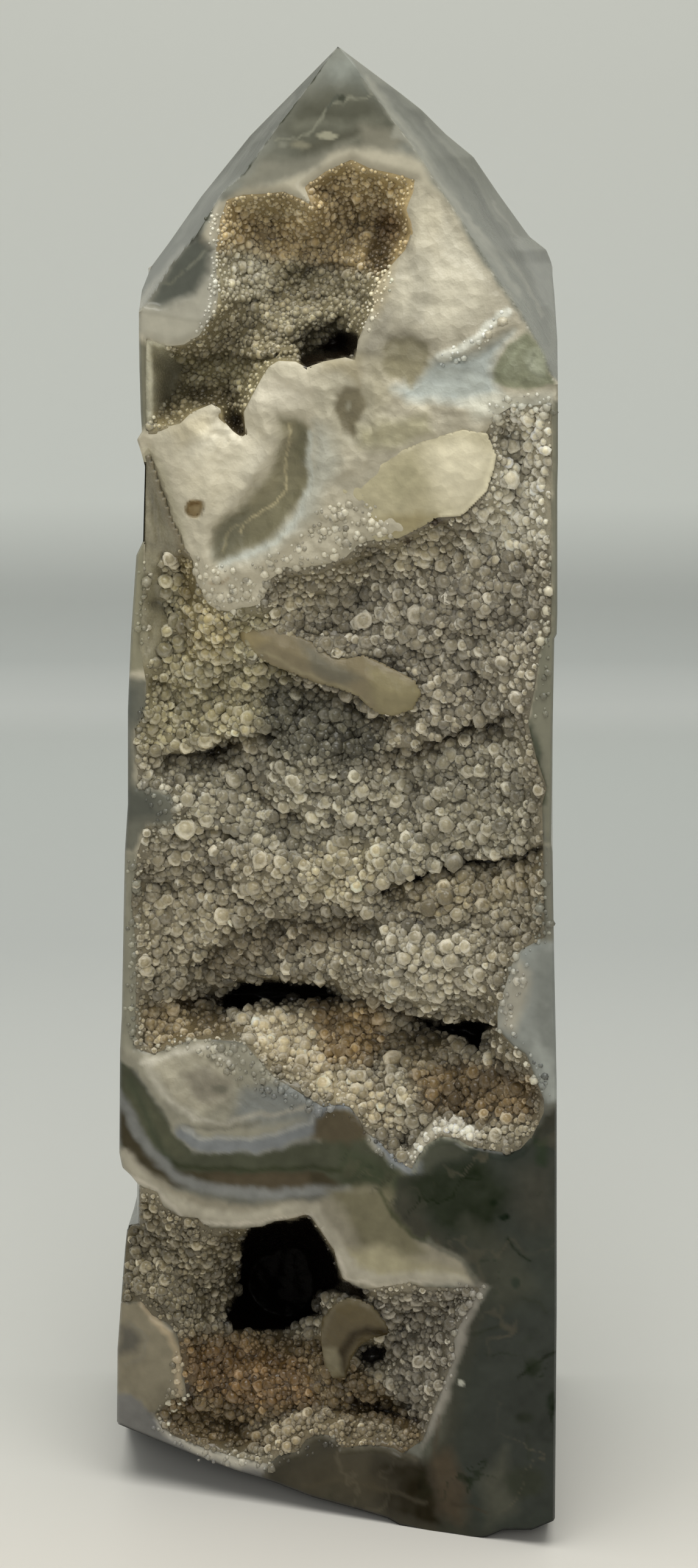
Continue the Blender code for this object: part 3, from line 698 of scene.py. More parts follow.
    ("spot", (98, 96, 84), 6, 0.9, (360, 1788, 13, 8)),
    ("spot", (104, 100, 86), 6, 0.8, (348, 1742, 8, 6)),
    ("patch", (112, 114, 110), 26, 1, ((400, 1790), (486, 1776), (560, 1812), (520, 1840), (440, 1850),
         (380, 1840))),
    ("line", (150, 146, 134), 7, 0.9, 6, ((318, 1838), (369, 1846), (427, 1833), (440, 1838), (511, 1818))),
    ("line", (92, 90, 80), 6, 0.8, 4, ((300, 1846), (330, 1852), (369, 1857), (427, 1845))),
    ("line", (108, 111, 112), 14, 1, 26, ((302, 1860), (327, 1879), (394, 1883), (461, 1873), (515, 1853),
         (528, 1826), (553, 1811), (586, 1820), (620, 1862), (653, 1904), (690, 1924))),
    ("line", (144, 144, 138), 6, 0.8, 4, ((302, 1849), (327, 1868), (394, 1872), (461, 1862), (510, 1846),
         (522, 1822), (550, 1803), (590, 1812), (626, 1858))),
    # moss agate: olive left branch, the level moss line, and the brownish band below it
    ("patch", (64, 66, 53), 9, 1, ((185, 1725), (205, 1748), (235, 1784), (262, 1826), (285, 1862),
         (314, 1893), (394, 1897), (461, 1889), (525, 1876), (531, 1850), (555, 1830), (582, 1845),
              (612, 1884), (660, 1925), (640, 1962), (448, 1962), (384, 1962), (270, 1940), (205, 1850),
                   (185, 1790))),
    ("patch", (78, 79, 63), 16, 0.8, ((200, 1770), (240, 1800), (290, 1870), (300, 1900), (262, 1900),
         (215, 1840))),
    ("patch", (50, 54, 40), 16, 0.9, ((560, 1915), (640, 1915), (700, 1950), (640, 1975), (560, 1950))),
    ("patch", (76, 69, 54), 14, 1, ((519, 1840), (553, 1822), (586, 1832), (603, 1868), (570, 1880),
         (511, 1872))),
    ("patch", (56, 62, 46), 20, 0.8, ((560, 1880), (640, 1910), (700, 1950), (640, 1960), (560, 1915))),
    ("patch", (57, 52, 38), 10, 1, ((186, 1790), (205, 1825), (235, 1888), (275, 1922), (346, 1924),
         (461, 1927), (530, 1926), (560, 1945), (550, 1962), (500, 1966), (448, 1966), (270, 1946),
              (215, 1905), (186, 1850))),
    ("patch", (72, 64, 50), 12, 0.8, ((343, 1930), (503, 1928), (511, 1950), (436, 1958), (352, 1948))),
    ("line", (46, 50, 34), 6, 0.9, 7, ((262, 1895), (276, 1910), (346, 1919), (410, 1920), (461, 1922),
         (515, 1917), (560, 1922))),
    ("line", (58, 64, 50), 12, 0.8, 10, ((212, 1775), (240, 1830), (262, 1880), (276, 1905))),
    ("line", (110, 111, 108), 14, 1, 18, ((196, 1800), (222, 1850), (250, 1895), (285, 1930), (343, 1954),
         (427, 1963), (519, 1954), (570, 1958))),
    ("patch", (124, 119, 104), 16, 1, ((190, 1880), (230, 1915), (290, 1955), (350, 1972), (405, 1984),
         (450, 1974), (520, 1972), (560, 1958), (620, 1950), (640, 1990), (690, 2040), (720, 2040),
              (760, 2075), (800, 2118), (600, 2122), (560, 2090), (505, 1990), (430, 2016), (338, 2020),
                   (262, 1965), (226, 1945), (196, 1925))),
    ("patch", (98, 94, 75), 30, 1, ((540, 1955), (640, 1950), (670, 2010), (700, 2060), (640, 2080),
         (590, 2040))),
    ("patch", (140, 134, 110), 28, 1, ((570, 2050), (620, 2048), (700, 2076), (770, 2100), (620, 2112),
         (575, 2096))),
    ("line", (152, 147, 132), 16, 1, 22, ((205, 1900), (235, 1940), (276, 1972), (327, 1996), (402, 2006),
         (469, 1990), (515, 1986), (553, 2046), (578, 2092), (620, 2104), (687, 2098), (796, 2112))),
    ("line", (176, 170, 156), 5, 0.8, 5, ((215, 1931), (258, 1956), (296, 1994), (338, 2013), (432, 2010),
         (475, 1998), (510, 1992), (548, 2046), (572, 2100), (620, 2112), (671, 2104), (745, 2112))),
    # dark moss agate at the lower right
    ("patch", (52, 52, 44), 16, 1, ((655, 1930), (690, 1925), (770, 1885), (812, 1893), (854, 1890),
         (895, 1830), (930, 1800), (930, 2560), (640, 2520), (560, 2470), (690, 2400), (700, 2330),
              (745, 2240), (765, 2160), (800, 2116), (762, 2069), (723, 2048), (697, 2036), (676, 2029),
                   (645, 1993))),
    ("patch", (47, 51, 46), 34, 0.9, ((720, 1900), (930, 1860), (930, 2540), (780, 2520), (740, 2430),
         (760, 2250), (800, 2130), (760, 2050), (700, 2000))),
    ("patch", (46, 49, 45), 40, 0.9, ((800, 2180), (920, 2140), (920, 2480), (820, 2480), (770, 2400))),
    ("patch", (36, 41, 31), 30, 0.9, ((660, 1940), (740, 1900), (800, 1905), (840, 1960), (800, 2040),
         (720, 2020))),
    ("patch", (62, 61, 53), 40, 0.7, ((850, 1925), (905, 1915), (915, 2010), (870, 2020), (845, 1980))),
    ("patch", (56, 57, 48), 30, 0.7, ((760, 2000), (840, 2040), (880, 2120), (820, 2150), (770, 2080))),
    ("patch", (70, 70, 60), 26, 0.7, ((790, 2430), (830, 2380), (850, 2480), (800, 2510))),
    ("patch", (72, 60, 46), 22, 0.6, ((700, 2400), (740, 2380), (770, 2450), (760, 2500), (700, 2480))),
    ("patch", (40, 50, 36), 10, 0.9, ((877, 1872), (895, 1872), (897, 1917), (880, 1915))),
    ("patch", (60, 62, 52), 14, 0.9, ((690, 1921), (690, 1899), (700, 1884), (723, 1870), (749, 1874),
         (768, 1888), (752, 1902), (725, 1905), (705, 1925))),
    ("line", (122, 122, 106), 5, 0.9, 5, ((680, 1922), (684, 1899), (697, 1882), (723, 1867), (749, 1870),
         (771, 1884))),
    ("line", (52, 56, 38), 6, 0.85, 5, ((621, 1953), (634, 1974), (645, 1993), (658, 2011), (676, 2029),
         (697, 2036), (705, 2027))),
    ("line", (86, 86, 76), 6, 0.85, 6, ((790, 2118), (762, 2076), (722, 2052), (704, 2034))),
    ("patch", (112, 112, 102), 14, 0.95, ((697, 2110), (745, 2112), (803, 2112), (786, 2139), (763, 2165),
         (748, 2197), (740, 2180), (752, 2140), (745, 2124), (697, 2120))),
    ("patch", (76, 77, 68), 18, 0.85, ((745, 2195), (752, 2235), (735, 2300), (728, 2360), (700, 2400),
         (690, 2370), (720, 2290), (735, 2230))),
    ("patch", (124, 120, 111), 12, 0.95, ((750, 2110), (798, 2110), (784, 2144), (768, 2172), (760, 2206),
         (748, 2246), (738, 2290), (724, 2340), (692, 2376), (704, 2330), (720, 2290), (733, 2235),
              (741, 2195))),
    ("line", (22, 30, 20), 5, 0.8, 4, ((832, 2035), (845, 2056), (868, 2070))),
    ("line", (40, 44, 34), 5, 0.6, 4, ((859, 2133), (885, 2140), (898, 2158))),
    ("line", (38, 42, 33), 5, 0.8, 5, ((774, 2190), (800, 2186), (824, 2177))),
    ("line", (30, 34, 26), 5, 0.8, 5, ((850, 2262), (876, 2243), (909, 2221))),
    ("spot", (36, 41, 32), 9, 0.8, (876, 2246, 16, 14)),
    ("spot", (34, 40, 32), 7, 0.8, (906, 2303, 8, 18)),
    ("spot", (38, 42, 34), 7, 0.7, (862, 2331, 14, 8)),
    ("line", (40, 44, 36), 5, 0.7, 4, ((866, 2358), (870, 2376), (866, 2394))),
    ("spot", (44, 47, 38), 16, 0.9, (862, 2435, 32, 26)),
    ("spot", (32, 38, 30), 4, 0.9, (814, 1974, 7, 6)),
    ("spot", (30, 36, 30), 4, 0.9, (829, 1999, 8, 6)),
    ("spot", (34, 42, 34), 4, 0.8, (846, 2106, 8, 8)),
    ("line", (68, 60, 48), 8, 0.7, 6, ((724, 2330), (712, 2390), (718, 2440), (706, 2482))),
    ("line", (60, 54, 44), 7, 0.6, 5, ((690, 2440), (740, 2430), (770, 2450))),
    ("line", (54, 48, 38), 5, 0.8, 4, ((745, 2467), (775, 2478), (800, 2487))),
    ("spot", (160, 160, 148), 3, 0.9, (758, 2275, 5, 5)),
    # the foot's left end: grey lobe with an eye, and the grey wedge and dome along the foot
    ("patch", (112, 106, 90), 12, 1, ((180, 2130), (233, 2138), (250, 2161), (274, 2173), (291, 2188),
         (299, 2229), (306, 2294), (280, 2302), (253, 2326), (180, 2290))),
    ("line", (146, 133, 110), 8, 0.9, 9, ((230, 2140), (250, 2166), (280, 2190), (292, 2240), (296, 2292))),
    ("patch", (74, 72, 66), 16, 0.9, ((196, 2178), (215, 2180), (232, 2200), (225, 2222), (196, 2226))),
    ("line", (106, 103, 94), 6, 0.6, 3, ((205, 2170), (240, 2196), (236, 2230), (205, 2244))),
    ("patch", (100, 99, 96), 10, 1, ((180, 2290), (218, 2288), (253, 2326), (283, 2358), (340, 2382),
         (395, 2398), (438, 2408), (438, 2440), (180, 2360))),
    ("patch", (156, 151, 137), 12, 0.85, ((253, 2326), (283, 2358), (340, 2380), (440, 2404), (430, 2418),
         (330, 2392), (260, 2350))),
    ("patch", (56, 53, 44), 9, 1, ((430, 2430), (441, 2405), (459, 2390), (488, 2385), (503, 2364),
         (526, 2355), (550, 2361), (561, 2379), (608, 2373), (646, 2379), (690, 2395), (720, 2520),
              (640, 2500), (512, 2460))),
    ("line", (84, 80, 69), 9, 0.9, 9, ((438, 2426), (443, 2407), (461, 2393), (489, 2388), (505, 2368),
         (526, 2359), (549, 2365), (562, 2383), (608, 2377), (646, 2383), (680, 2398))),
    ("patch", (38, 35, 28), 22, 0.85, ((610, 2400), (700, 2400), (730, 2510), (640, 2490), (600, 2450))),
    ("patch", (62, 57, 45), 30, 0.6, ((470, 2420), (540, 2390), (600, 2400), (640, 2440), (600, 2470),
         (520, 2450))),
    ("line", (68, 62, 48), 7, 0.5, 5, ((500, 2440), (560, 2432), (640, 2450), (700, 2470))),
)

MOSS = (
    (560, 1880), (640, 1920), (700, 1925), (770, 1890), (854, 1895), (930, 1800), (930, 2560), (640, 2520),
         (470, 2450),
    (520, 2370), (690, 2400), (760, 2250), (800, 2120), (740, 2050), (650, 1990), (560, 1920),
)
# Veins: size of their loops in pixels, seed, thickness, colour, strength
VEINS = (
    (120, 301, 0.035, (30, 36, 26), 0.7), (70, 311, 0.03, (38, 44, 34), 0.6),
         (150, 321, 0.03, (84, 78, 64), 0.4),
)

# Colours of the crystals and their ground: stains and tones, and painted shade in holes, wells and under
# ledges
CRYSTAL_COLOURS_AND_SHADE = (
    # upper hollow: stained tan at the top, grey below, darker towards the web, with painted shade in its
    # wells and black holes
    ("patch", (120, 105, 74), 24, 1, ((300, 300), (720, 220), (720, 470), (560, 440), (470, 430),
         (340, 420))),
    ("patch", (104, 97, 75), 24, 1, ((340, 420), (470, 430), (580, 450), (640, 460), (600, 560),
         (480, 600), (240, 590), (330, 520))),
    ("patch", (136, 120, 84), 14, 0.7, ((540, 280), (580, 262), (640, 280), (686, 296), (670, 330),
         (620, 320), (560, 310))),
    ("patch", (122, 110, 80), 14, 0.7, ((375, 325), (470, 315), (510, 340), (470, 360), (400, 350))),
    # painted shade in the well at the top right
    ("spot", (74, 58, 34), 16, 0.9, (636, 372, 22, 26)),
    ("patch", (118, 110, 82), 18, 0.9, ((235, 575), (300, 584), (400, 592), (470, 590), (440, 610),
         (410, 660), (400, 720), (340, 670), (250, 710))),
    ("patch", (118, 108, 80), 14, 0.8, ((250, 660), (300, 660), (400, 670), (405, 720), (340, 680),
         (260, 705))),
    ("spot", (146, 140, 118), 30, 0.8, (400, 450, 48, 44)),
    ("spot", (82, 76, 56), 20, 0.8, (480, 462, 34, 24)),
    ("spot", (52, 42, 24), 16, 0.95, (624, 420, 24, 34)),
    ("spot", (118, 111, 88), 20, 0.8, (505, 532, 46, 22)),
    ("spot", (96, 90, 70), 16, 0.7, (560, 500, 26, 24)),
    ("patch", (130, 122, 92), 14, 1, ((240, 586), (300, 590), (400, 594), (400, 622), (300, 626),
         (240, 612))),
    # painted shade in the well under the long ledge
    ("spot", (50, 44, 28), 16, 0.9, (352, 654, 44, 20)),
    # painted shade: the black hole under the ledge
    ("patch", (14, 9, 5), 7, 1, ((488, 584), (521, 569), (546, 551), (559, 538), (590, 553), (588, 574),
         (575, 592), (531, 598), (503, 608))),
    # painted shade: the small black hole
    ("patch", (34, 26, 14), 10, 0.9, ((365, 688), (380, 680), (400, 676), (406, 720), (384, 712))),
    # painted light: the bare left wall is painted far lighter than it looks, against the shade it lies in
    ("patch", (150, 147, 128), 16, 1, BARE[2]),
    # middle hollow, with painted shadow along the lips of its ledges and under both flaps, and painted shade
    # in its deep wells and black holes
    ("patch", (121, 114, 86), 40, 0.9, ((220, 900), (320, 960), (440, 1000), (480, 1100), (470, 1180),
         (380, 1210), (220, 1240))),
    ("patch", (132, 121, 87), 16, 0.8, ((300, 980), (350, 975), (385, 1030), (370, 1080), (310, 1085),
         (296, 1030))),
    ("patch", (126, 121, 102), 12, 1, BARE[0]),
    ("patch", (134, 129, 108), 20, 0.9, BARE[1]),
    # painted shade in the deep well below the web's edge
    ("patch", (92, 82, 53), 16, 0.9, ((290, 895), (325, 925), (325, 985), (300, 990))),
    ("patch", (124, 116, 93), 30, 0.7, ((440, 960), (600, 900), (720, 860), (760, 900), (640, 960),
         (480, 1010))),
    ("patch", (111, 105, 89), 40, 0.8, ((600, 960), (900, 900), (900, 1180), (700, 1200), (620, 1120),
         (560, 1040))),
    ("patch", (166, 160, 140), 40, 0.8, ((820, 670), (910, 660), (910, 900), (760, 900), (790, 830))),
    # painted shade below the lower flap
    ("patch", (62, 60, 48), 30, 0.9, ((440, 1110), (600, 1170), (640, 1230), (560, 1290), (440, 1260),
         (420, 1180))),
    ("patch", (116, 111, 93), 30, 0.7, ((230, 1250), (400, 1240), (640, 1260), (860, 1200), (880, 1390),
         (640, 1450), (440, 1400), (240, 1380))),
    ("patch", (142, 133, 106), 26, 0.85, ((500, 1400), (560, 1376), (620, 1390), (630, 1440), (570, 1480),
         (500, 1470))),
    ("patch", (106, 97, 74), 22, 0.8, ((630, 1460), (720, 1436), (830, 1420), (895, 1400), (895, 1460),
         (780, 1500), (660, 1500))),
    ("patch", (126, 120, 102), 30, 0.6, ((600, 1530), (760, 1500), (800, 1600), (760, 1660), (640, 1650))),
    # painted shadow under the ledge above it
    ("patch", (80, 72, 54), 16, 0.8, ((318, 1590), (400, 1525), (594, 1510), (620, 1540), (480, 1560),
         (360, 1610))),
    ("patch", (122, 114, 92), 26, 0.5, ((220, 1400), (480, 1420), (480, 1500), (330, 1560), (220, 1640))),
    ("patch", (108, 95, 68), 20, 0.9, ((230, 1650), (306, 1640), (360, 1660), (400, 1690), (330, 1706),
         (240, 1725))),
    ("patch", (112, 92, 57), 26, 0.9, ((512, 1650), (624, 1655), (640, 1720), (600, 1750), (512, 1748))),
    ("patch", (82, 66, 38), 26, 0.9, ((671, 1760), (760, 1740), (880, 1770), (880, 1838), (760, 1840),
         (690, 1820))),
    ("patch", (158, 146, 118), 26, 0.85, ((400, 1660), (510, 1660), (540, 1760), (620, 1780), (660, 1860),
         (600, 1840), (540, 1800), (430, 1740))),
    ("patch", (96, 84, 58), 22, 0.7, ((640, 1680), (760, 1720), (690, 1760), (640, 1740))),
    # painted shadow along and under the lips of the ledges and along the crack
    ("line", (62, 53, 36), 8, 0.8, 9, ((817, 1735), (828, 1766), (849, 1776), (877, 1794), (896, 1807))),
    ("patch", (36, 30, 16), 8, 0.95, ((340, 1250), (350, 1226), (400, 1210), (398, 1222), (366, 1240),
         (352, 1256))),
    ("line", (66, 58, 36), 8, 0.7, 7, ((270, 1242), (336, 1232), (357, 1222))),
    ("line", (44, 38, 26), 8, 0.85, 9, ((645, 1236), (681, 1234), (744, 1212), (762, 1194), (815, 1189),
         (841, 1170))),
    ("line", (78, 70, 52), 8, 0.7, 8, ((399, 1262), (425, 1308), (465, 1337), (487, 1340))),
    ("line", (84, 76, 56), 8, 0.7, 7, ((289, 1374), (347, 1364), (373, 1374))),
    ("line", (26, 21, 14), 6, 1, 9, ((631, 1462), (676, 1448), (726, 1431), (762, 1421), (796, 1415),
         (846, 1416), (890, 1394))),
    ("line", (58, 49, 33), 9, 0.9, 12, ((306, 1648), (357, 1644), (450, 1640), (560, 1640), (611, 1650),
         (658, 1665), (700, 1680), (815, 1688))),
    # painted shade: black holes in the deep wells below the lowest long ledge
    ("patch", (10, 8, 6), 6, 1, ((357, 1652), (367, 1636), (391, 1615), (408, 1611), (464, 1610),
         (480, 1616), (528, 1612), (544, 1626), (563, 1637), (536, 1644), (501, 1648), (469, 1646),
              (450, 1656), (434, 1648), (402, 1659), (365, 1664))),
    ("patch", (10, 8, 6), 6, 1, ((683, 1671), (728, 1680), (783, 1678), (817, 1684), (815, 1692),
         (800, 1694), (798, 1721), (786, 1726), (769, 1724), (766, 1710), (739, 1701), (707, 1690))),
    ("line", (190, 184, 166), 12, 0.85, 18, ((672, 1902), (690, 1876), (716, 1852), (746, 1848),
         (778, 1862))),
    # painted shadow below the upper flap's lower edge
    ("spot", (36, 22, 11), 5, 0.9, (673, 889, 10, 6)),
    ("spot", (46, 34, 21), 5, 0.9, (716, 858, 12, 6)),
    ("spot", (72, 62, 44), 5, 0.8, (772, 879, 8, 6)),
    # pocket, with painted shade in its black holes and painted shadow under its ledges
    ("patch", (86, 79, 60), 20, 1, ((160, 1930), (300, 1990), (400, 2020), (400, 2120), (330, 2190),
         (250, 2170), (160, 2140))),
    ("patch", (76, 64, 41), 28, 1, ((260, 2190), (400, 2180), (530, 2200), (700, 2330), (700, 2400),
         (290, 2370), (250, 2310))),
    ("patch", (83, 63, 34), 26, 0.85, ((300, 2210), (400, 2200), (500, 2240), (520, 2310), (400, 2310),
         (310, 2280))),
    ("patch", (84, 79, 67), 20, 0.9, ((600, 2120), (780, 2112), (745, 2240), (700, 2360), (640, 2290),
         (640, 2190))),
    ("patch", (106, 97, 76), 14, 0.7, ((400, 2345), (520, 2310), (640, 2340), (690, 2370), (560, 2380),
         (460, 2390))),
    # painted shade: the big black hole
    ("patch", (4, 3, 2), 8, 1, ((392, 2040), (410, 2016), (476, 2001), (507, 1993), (517, 2013),
         (543, 2044), (553, 2069), (563, 2100), (609, 2120), (604, 2138), (538, 2127), (517, 2138),
              (527, 2156), (507, 2168), (471, 2184), (446, 2189), (374, 2186), (369, 2156), (390, 2115))),
    # painted shade: the small hole
    ("patch", (18, 15, 11), 7, 0.95, ((590, 2212), (616, 2206), (636, 2216), (634, 2240), (604, 2246),
         (590, 2232))),
    # painted shadow under the pocket's ledges
    ("line", (26, 18, 10), 6, 0.9, 8, ((574, 2299), (608, 2306), (637, 2321), (689, 2333))),
    ("patch", (42, 31, 16), 8, 0.8, ((298, 2262), (316, 2280), (330, 2320), (306, 2316))),
    ("line", (68, 60, 40), 5, 0.8, 6, ((392, 2352), (394, 2396))),
)


# the upper flap's colour and marks: a painted highlight on its right part and along its upper and lower right
# edges, and painted shade at its left and along its lower edge
FLAP_COLOURS_AND_PAINTED_LIGHT = ((164, 157, 130), (
    ("patch", (200, 193, 168), 60, 1, ((700, 735), (760, 710), (815, 745), (800, 805), (760, 842),
         (720, 830))),
    ("patch", (148, 142, 116), 30, 0.8, ((610, 790), (680, 750), (700, 800), (660, 830))),
    ("patch", (144, 134, 102), 16, 0.9, ((600, 858), (650, 846), (720, 846), (683, 872), (640, 884))),
    ("line", (184, 177, 152), 5, 0.8, 4, ((540, 800), (581, 782), (642, 752), (700, 728))),
    ("line", (206, 199, 172), 6, 0.9, 7, ((812, 750), (806, 778), (795, 808), (773, 829), (756, 843),
         (722, 845))),
))
LOWER_FLAP_MARKS = ((120, 111, 89), (
    ("patch", (127, 119, 92), 18, 1, ((600, 1090), (700, 1130), (678, 1180), (622, 1180))),
    ("patch", (102, 98, 84), 24, 1, ((490, 1050), (545, 1085), (590, 1115), (560, 1130), (510, 1105))),
    ("patch", (140, 128, 96), 16, 0.9, ((330, 1010), (400, 1036), (440, 1050), (410, 1070), (350, 1050))),
    ("line", (140, 132, 106), 5, 0.7, 5, ((345, 1040), (380, 1060), (436, 1074), (497, 1108), (573, 1134),
         (604, 1150))),
))
EAR_MARKS = ((80, 72, 54), (
    ("line", (92, 85, 68), 8, 0.9, 8, ((530, 2240), (528, 2190), (546, 2150), (572, 2138), (600, 2142),
         (630, 2176))),
    ("line", (44, 37, 24), 9, 0.9, 14, ((560, 2258), (562, 2220), (580, 2196), (604, 2186), (634, 2192))),
    ("patch", (114, 108, 88), 10, 0.8, ((530, 2215), (556, 2215), (562, 2262), (540, 2262))),
))


def surface(name, points, faces, tone, finish, sharp=None, grit=0.0):
    """A mesh object from points, faces, and a colour and a share of grit per point. Edges sharper than the
    angle stay sharp."""
    mesh = bpy.data.meshes.new(name)
    mesh.from_pydata(points, [], faces)
    mesh.update()
    rgba = np.column_stack((np.clip(tone, 0, 1), np.ones(len(tone)))).astype(np.float32)
    mesh.attributes.new("tone", "FLOAT_COLOR", "POINT").data.foreach_set("color", rgba.ravel())
    share = np.broadcast_to(np.float32(grit), len(tone)).astype(np.float32)
    mesh.attributes.new("grit", "FLOAT", "POINT").data.foreach_set("value", share)
    mesh.shade_smooth()
    if sharp:
        mesh.set_sharp_from_angle(angle=math.radians(sharp))
    mesh.materials.append(finish)
    thing = bpy.data.objects.new(name, mesh)
    bpy.context.scene.collection.objects.link(thing)
    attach(thing, "root")
    return thing


def lattice(outline, beyond, step):
    """Places on a square lattice over an outline and beyond it, a step apart at most, and its rows and
    columns."""
    low, high = outline.min(0) - beyond, outline.max(0) + beyond
    count = np.ceil((high - low) / step).astype(int)
    x, y = np.meshgrid(np.linspace(low[0], high[0], count[0]), np.linspace(low[1], high[1], count[1]))
    return np.column_stack((x.ravel(), y.ravel())), (count[1], count[0])


def covered(keep, shape):
    """The quads of a lattice whose four corners are kept, as numbers in the list of the corners that they
    use, and that list."""
    index = np.arange(len(keep)).reshape(shape)
    quads = np.stack((index[:-1, :-1], index[1:, :-1], index[1:, 1:], index[:-1, 1:]), axis=2).reshape(-1, 4)
    used, order = np.unique(quads[keep[quads].all(1)], return_inverse=True)
    return order.reshape(-1, 4), used


def front_places():
    """Places of the front as rows of columns: a column runs from the apex to the foot's edge, and a row
    from the stone's left edge to its right edge."""
    share = np.linspace(0, 1, COLUMNS)
    base = np.array(BASE_EDGE, float)
    foot = np.interp(base[0, 0] + share * (base[-1, 0] - base[0, 0]), base[:, 0], base[:, 1])
    top = LEFT_EDGE[0][1]
    down = np.linspace(0, 1, ROWS)[1:]
    y = top + down[:, None] * (foot - top)
    left, right = across(y, LEFT_EDGE), across(y, RIGHT_EDGE)
    return np.stack((left + share * (right - left), y), axis=2)


def sunk_front(places):
    """How far the stone lies behind the polished front at each place, which places are kept, which lie in a
    well, and how sugary each is. Places near a hollow's outline are moved onto it. Behind the two upper
    hollows the stone is cut away in deep wells, whose middles are left open, and in the pocket it follows
    the crystals."""
    sunk = np.zeros(len(places))
    keep = np.ones(len(places), bool)
    well = np.zeros(len(places), bool)
    for name, hollow in HOLLOWS.items():
        inside, closest = outline_distance(places, hollow["outline"])
        left, right = across(places[:, 1], LEFT_EDGE), across(places[:, 1], RIGHT_EDGE)
        rim = (places[:, 0] > left + EDGE_STRIP) & (places[:, 0] < right - EDGE_STRIP)
        rim &= abs(inside) < RIM_STEP
        places[rim], inside[rim] = closest[rim], 0
        if name == "pocket":
            deep = bowl_depth(places, hollow) + 0.9 * MM
        else:
            deep = well_depth(places)
            keep &= inside < 5 * RIM_STEP
            well |= inside > ON_RIM
        sunk = np.where(inside > ON_RIM, deep, sunk)
    relief, sugary = stone_relief(places)
    left, right = across(places[:, 1], LEFT_EDGE), across(places[:, 1], RIGHT_EDGE)
    edge = np.minimum(places[:, 0] - left, right - places[:, 0])
    return np.where(sunk > 0, sunk, relief * np.clip(edge / 14, 0, 1)), keep, well, sugary


def back_ridges(grid, points):
    """The ridges at the right and the left of the back: along the tip, just behind the front's outer
    column, and below the shoulder a straight line down to the foot."""
    ridges = []
    for back, shoulder, foot, column in (
        (RIGHT_BACK, SHOULDERS[2], FEET[2], -1), (LEFT_BACK, SHOULDERS[3], FEET[3], 0)
    ):
        heights, top = grid[:, column, 1:], back[2][0]
        down = np.clip((heights - top) / (heights[-1] - top), 0, 1)
        lower = shoulder + (foot - shoulder) * down
        ridges.append(np.where(heights < top, points[:, column] + (0, TIP_GAP, 0), lower))
    return ridges


def stone_rings(grid, points):
    """Closed rings around the stone. Each is a row of the front, then straight runs along the right side,
    the back and the left side, whose corners are drawn in a little, so that they are rounded. Below the
    last ring come a bevel, and the sawn foot on the ground, which lies further back where the front edge is
    lifted."""
    right, left = back_ridges(grid, points)
    around = [points]
    for start, end in ((points[:, -1], right), (right, left), (left, points[:, 0])):
        around.append(start[:, None] + (end - start)[:, None] * BENDS[None, :, None])
    around[1] = around[1][:, 1:]
    rings = np.concatenate(around, axis=1)
    for corner in (COLUMNS + len(BENDS) - 1, COLUMNS + 2 * len(BENDS) - 1):
        inward = MIDDLE - rings[:, corner, :2]
        length = np.linalg.norm(inward, axis=1, keepdims=True)
        rings[:, corner, :2] += inward / np.clip(length, 1e-6, None) * np.clip(length * 0.02, 0, 0.4 * MM)
    last = rings[-1]
    lift = np.clip(last[:, 2:], 0, None)
    last[:, 2:] = lift
    inward = MIDDLE - last[:, :2]
    inward /= np.linalg.norm(inward, axis=1, keepdims=True)
    bevel, foot = last.copy(), last.copy()
    bevel[:, :2] += inward * 0.15 * MM
    bevel[:, 2:] = np.clip(lift - 0.3 * MM, 0, None)
    foot[:, :2] += inward * 0.35 * MM
    foot[:, 1:2] += lift * 2.2
    foot[:, 2] = 0
    return np.concatenate((rings, bevel[None], foot[None]))


def front_tone(places):
    """The front's own colours: cream above and smoke near the foot, under the marks, with a grey veil over
    the web, veins in the moss, and clouds over all. The tip is taken as getting more light."""
    low = np.clip((places[:, 1:] - 1560) / 120, 0, 1)
    tone = paint(places, tint(CREAM) + (tint(SMOKE) - tint(CREAM)) * low, STONE_MARKS)
    cloud = 1 + (0.08 + 0.1 * low[:, 0]) * noise(warp(places, 30, 50, 36), 64, 37, 4)
    cloud += (0.05 + 0.06 * low[:, 0]) * noise(places, 13, 38, 2)
    veil = np.clip(noise(warp(places, 24, 60, 41), 62, 42, 3) * 1.1 - 0.08, 0, 0.62)[:, None]
    tone *= 1 - 0.38 * veil * zone(places, 20, WEB)
    moss = zone(places, 30, MOSS)
    for size, seed, thin, colour, strength in VEINS:
        line = np.clip(1.4 - abs(noise(warp(places, 26, 40, seed), size, seed + 1, 4)) / thin, 0, 1)
        patchy = np.clip(noise(places, 110, seed + 2, 2) * 1.6 + 0.3, 0, 1)
        tone += (tint(colour) - tone) * (line * patchy * strength)[:, None] * moss
    tip = np.clip((510 + 0.19 * (places[:, 0] - 230) - places[:, 1]) / 12 + 0.5, 0, 1)[:, None]
    return own_colour(tone * cloud[:, None], STONE_LIGHT + (TIP_LIGHT - STONE_LIGHT) * tip, GLOSS)


def side_tone(points):
    """Own colours of the sides and the back: soft bands that rise around the stone, dark near the foot."""
    flat = np.column_stack((points[:, 0] * 1.3 + points[:, 1], points[:, 2])) / MM * PIXELS_PER_MM
    bands = np.clip(noise(warp(flat, 60, 260, 71) * (0.5, 1.4), 300, 61, 4) * 0.9 + 0.5, 0, 1)[:, None]
    upper, lower = (
        own_colour(tint(dull) + (tint(light) - tint(dull)) * bands, STONE_LIGHT, GLOSS)
        for dull, light in ((GREY, MILK), (DARK, SMOKE))
    )
    height = points[:, 2:] / MM
    mix = np.clip((height - 18 - 10 * noise(flat, 400, 65)[:, None]) / 14, 0, 1)
    return lower + (upper - lower) * mix


